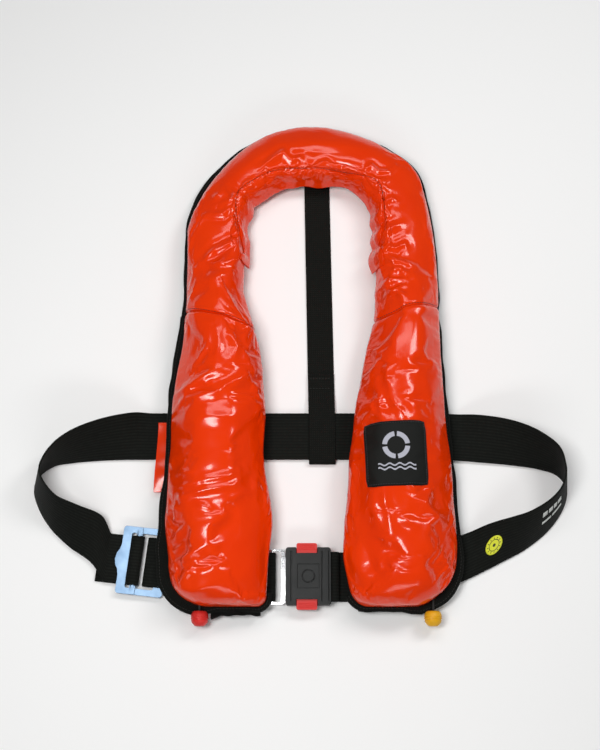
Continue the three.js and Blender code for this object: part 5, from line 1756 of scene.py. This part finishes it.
# ---- the stage ----
VIEWPOINT = Vector((-0.0264, 0.0678, 0))  # what the camera looks at
LENS = 58.3
LIGHTS = [
    # name, place, looked at, size, watts
    ("Key", (-0.35, -0.15, 1.25), (-0.02, 0.05, 0), (0.26, 0.50), 8.2),
    ("Fill", (0.75, 0.55, 1.15), (-0.02, 0.08, 0), (0.26, 0.45), 4.9),
    ("Top", (0.0, 0.75, 1.35), (0, 0.05, 0), (1.10, 0.30), 4.6),
    ("Front", (0.15, -1.05, 0.75), (0, 0.0, 0), (1.0, 0.25), 2.8),
]


class JACKET_OT_stage(bpy.types.Operator):
    """Set up the pale floor, the soft lights and the camera"""

    bl_idname = "jacket.stage"
    bl_label = "Stage"

    def execute(self, context):
        look = context.scene.jacket_stage
        bpy.ops.object.select_all(action="DESELECT")
        bpy.ops.mesh.primitive_plane_add(size=12, location=(0, 0, -0.0006))
        floor = context.object
        floor.name = "floor"
        material, tree, shader = start_material(
            "studio_floor", Base_Color=look.floor, Roughness=0.9
        )
        place = add(tree, "ShaderNodeTexCoord").outputs["Object"]
        cloud = add(tree, "ShaderNodeTexNoise", {"Vector": place, "Scale": 3.0, "Detail": 2.0})
        dull = add(
            tree, "ShaderNodeMapRange",
            {"Value": cloud.outputs["Fac"], "To Min": 0.85, "To Max": 0.95},
        )
        drive(shader, Roughness=dull.outputs[0])
        floor.data.materials.append(material)
        for name, place, target, size, watts in LIGHTS:
            light = bpy.data.lights.new(name, "AREA")
            light.shape = "RECTANGLE"
            light.size, light.size_y = size
            light.energy = watts
            lamp = bpy.data.objects.new(name, light)
            context.scene.collection.objects.link(lamp)
            lamp.location = place
            way = Vector(target) - Vector(place)
            lamp.rotation_euler = way.to_track_quat("-Z", "Y").to_euler()
        world = bpy.data.worlds.new("studio")
        world.use_nodes = True
        sky = world.node_tree.nodes["Background"]
        sky.inputs["Color"].default_value = linear("F2F3F5")
        # the studio walls look pale but hardly light the gloss
        rays = add(world.node_tree, "ShaderNodeLightPath")
        strength = add(
            world.node_tree, "ShaderNodeMapRange",
            {"Value": rays.outputs["Is Camera Ray"], "To Min": 0.12, "To Max": 0.85},
        )
        world.node_tree.links.new(strength.outputs["Result"], sky.inputs["Strength"])
        context.scene.world = world
        context.scene.view_settings.view_transform = "Standard"
        camera = bpy.data.cameras.new("Camera")
        camera.lens = LENS
        camera.sensor_width = 36
        eye = bpy.data.objects.new("Camera", camera)
        context.scene.collection.objects.link(eye)
        back = Vector((0, -math.cos(look.tilt), math.sin(look.tilt)))
        eye.location = VIEWPOINT + look.distance * back
        eye.rotation_euler = (-back).to_track_quat("-Z", "Y").to_euler()
        context.scene.camera = eye
        return {"FINISHED"}


class JACKET_PT_build(bpy.types.Panel):
    """The steps that build the life jacket, in order"""

    bl_label = "Life jacket"
    bl_idname = "JACKET_PT_build"
    bl_space_type = "VIEW_3D"
    bl_region_type = "UI"
    bl_category = "Life jacket"

    def draw(self, context):
        for settings in SETTINGS:
            box = self.layout.box()
            group = getattr(context.scene, settings)
            for key in group.__annotations__:
                box.prop(group, key)
        for operator in OPERATORS:
            self.layout.operator(operator.bl_idname)


SETTINGS = {
    "jacket_cover": CoverSettings,
    "jacket_fabric": FabricSettings,
    "jacket_hardware": HardwareSettings,
    "jacket_stage": StageSettings,
}
OPERATORS = [
    JACKET_OT_stage,
    JACKET_OT_cover,
    JACKET_OT_seams,
    JACKET_OT_edging,
    JACKET_OT_lining,
    JACKET_OT_webbing,
    JACKET_OT_small_fabric,
    JACKET_OT_marks,
    JACKET_OT_buckle,
    JACKET_OT_adjuster,
    JACKET_OT_pulls,
    JACKET_OT_finishes,
]


def register():
    for kind in (*SETTINGS.values(), *OPERATORS, JACKET_PT_build):
        bpy.utils.register_class(kind)
    for name, kind in SETTINGS.items():
        setattr(bpy.types.Scene, name, bpy.props.PointerProperty(type=kind))


def unregister():
    for name in SETTINGS:
        delattr(bpy.types.Scene, name)
    for kind in (JACKET_PT_build, *reversed(OPERATORS), *reversed(SETTINGS.values())):
        bpy.utils.unregister_class(kind)


def main():
    register()
    for operator in OPERATORS:
        area, step = operator.bl_idname.split(".")
        getattr(getattr(bpy.ops, area), step)()


if __name__ == "__main__":
    main()
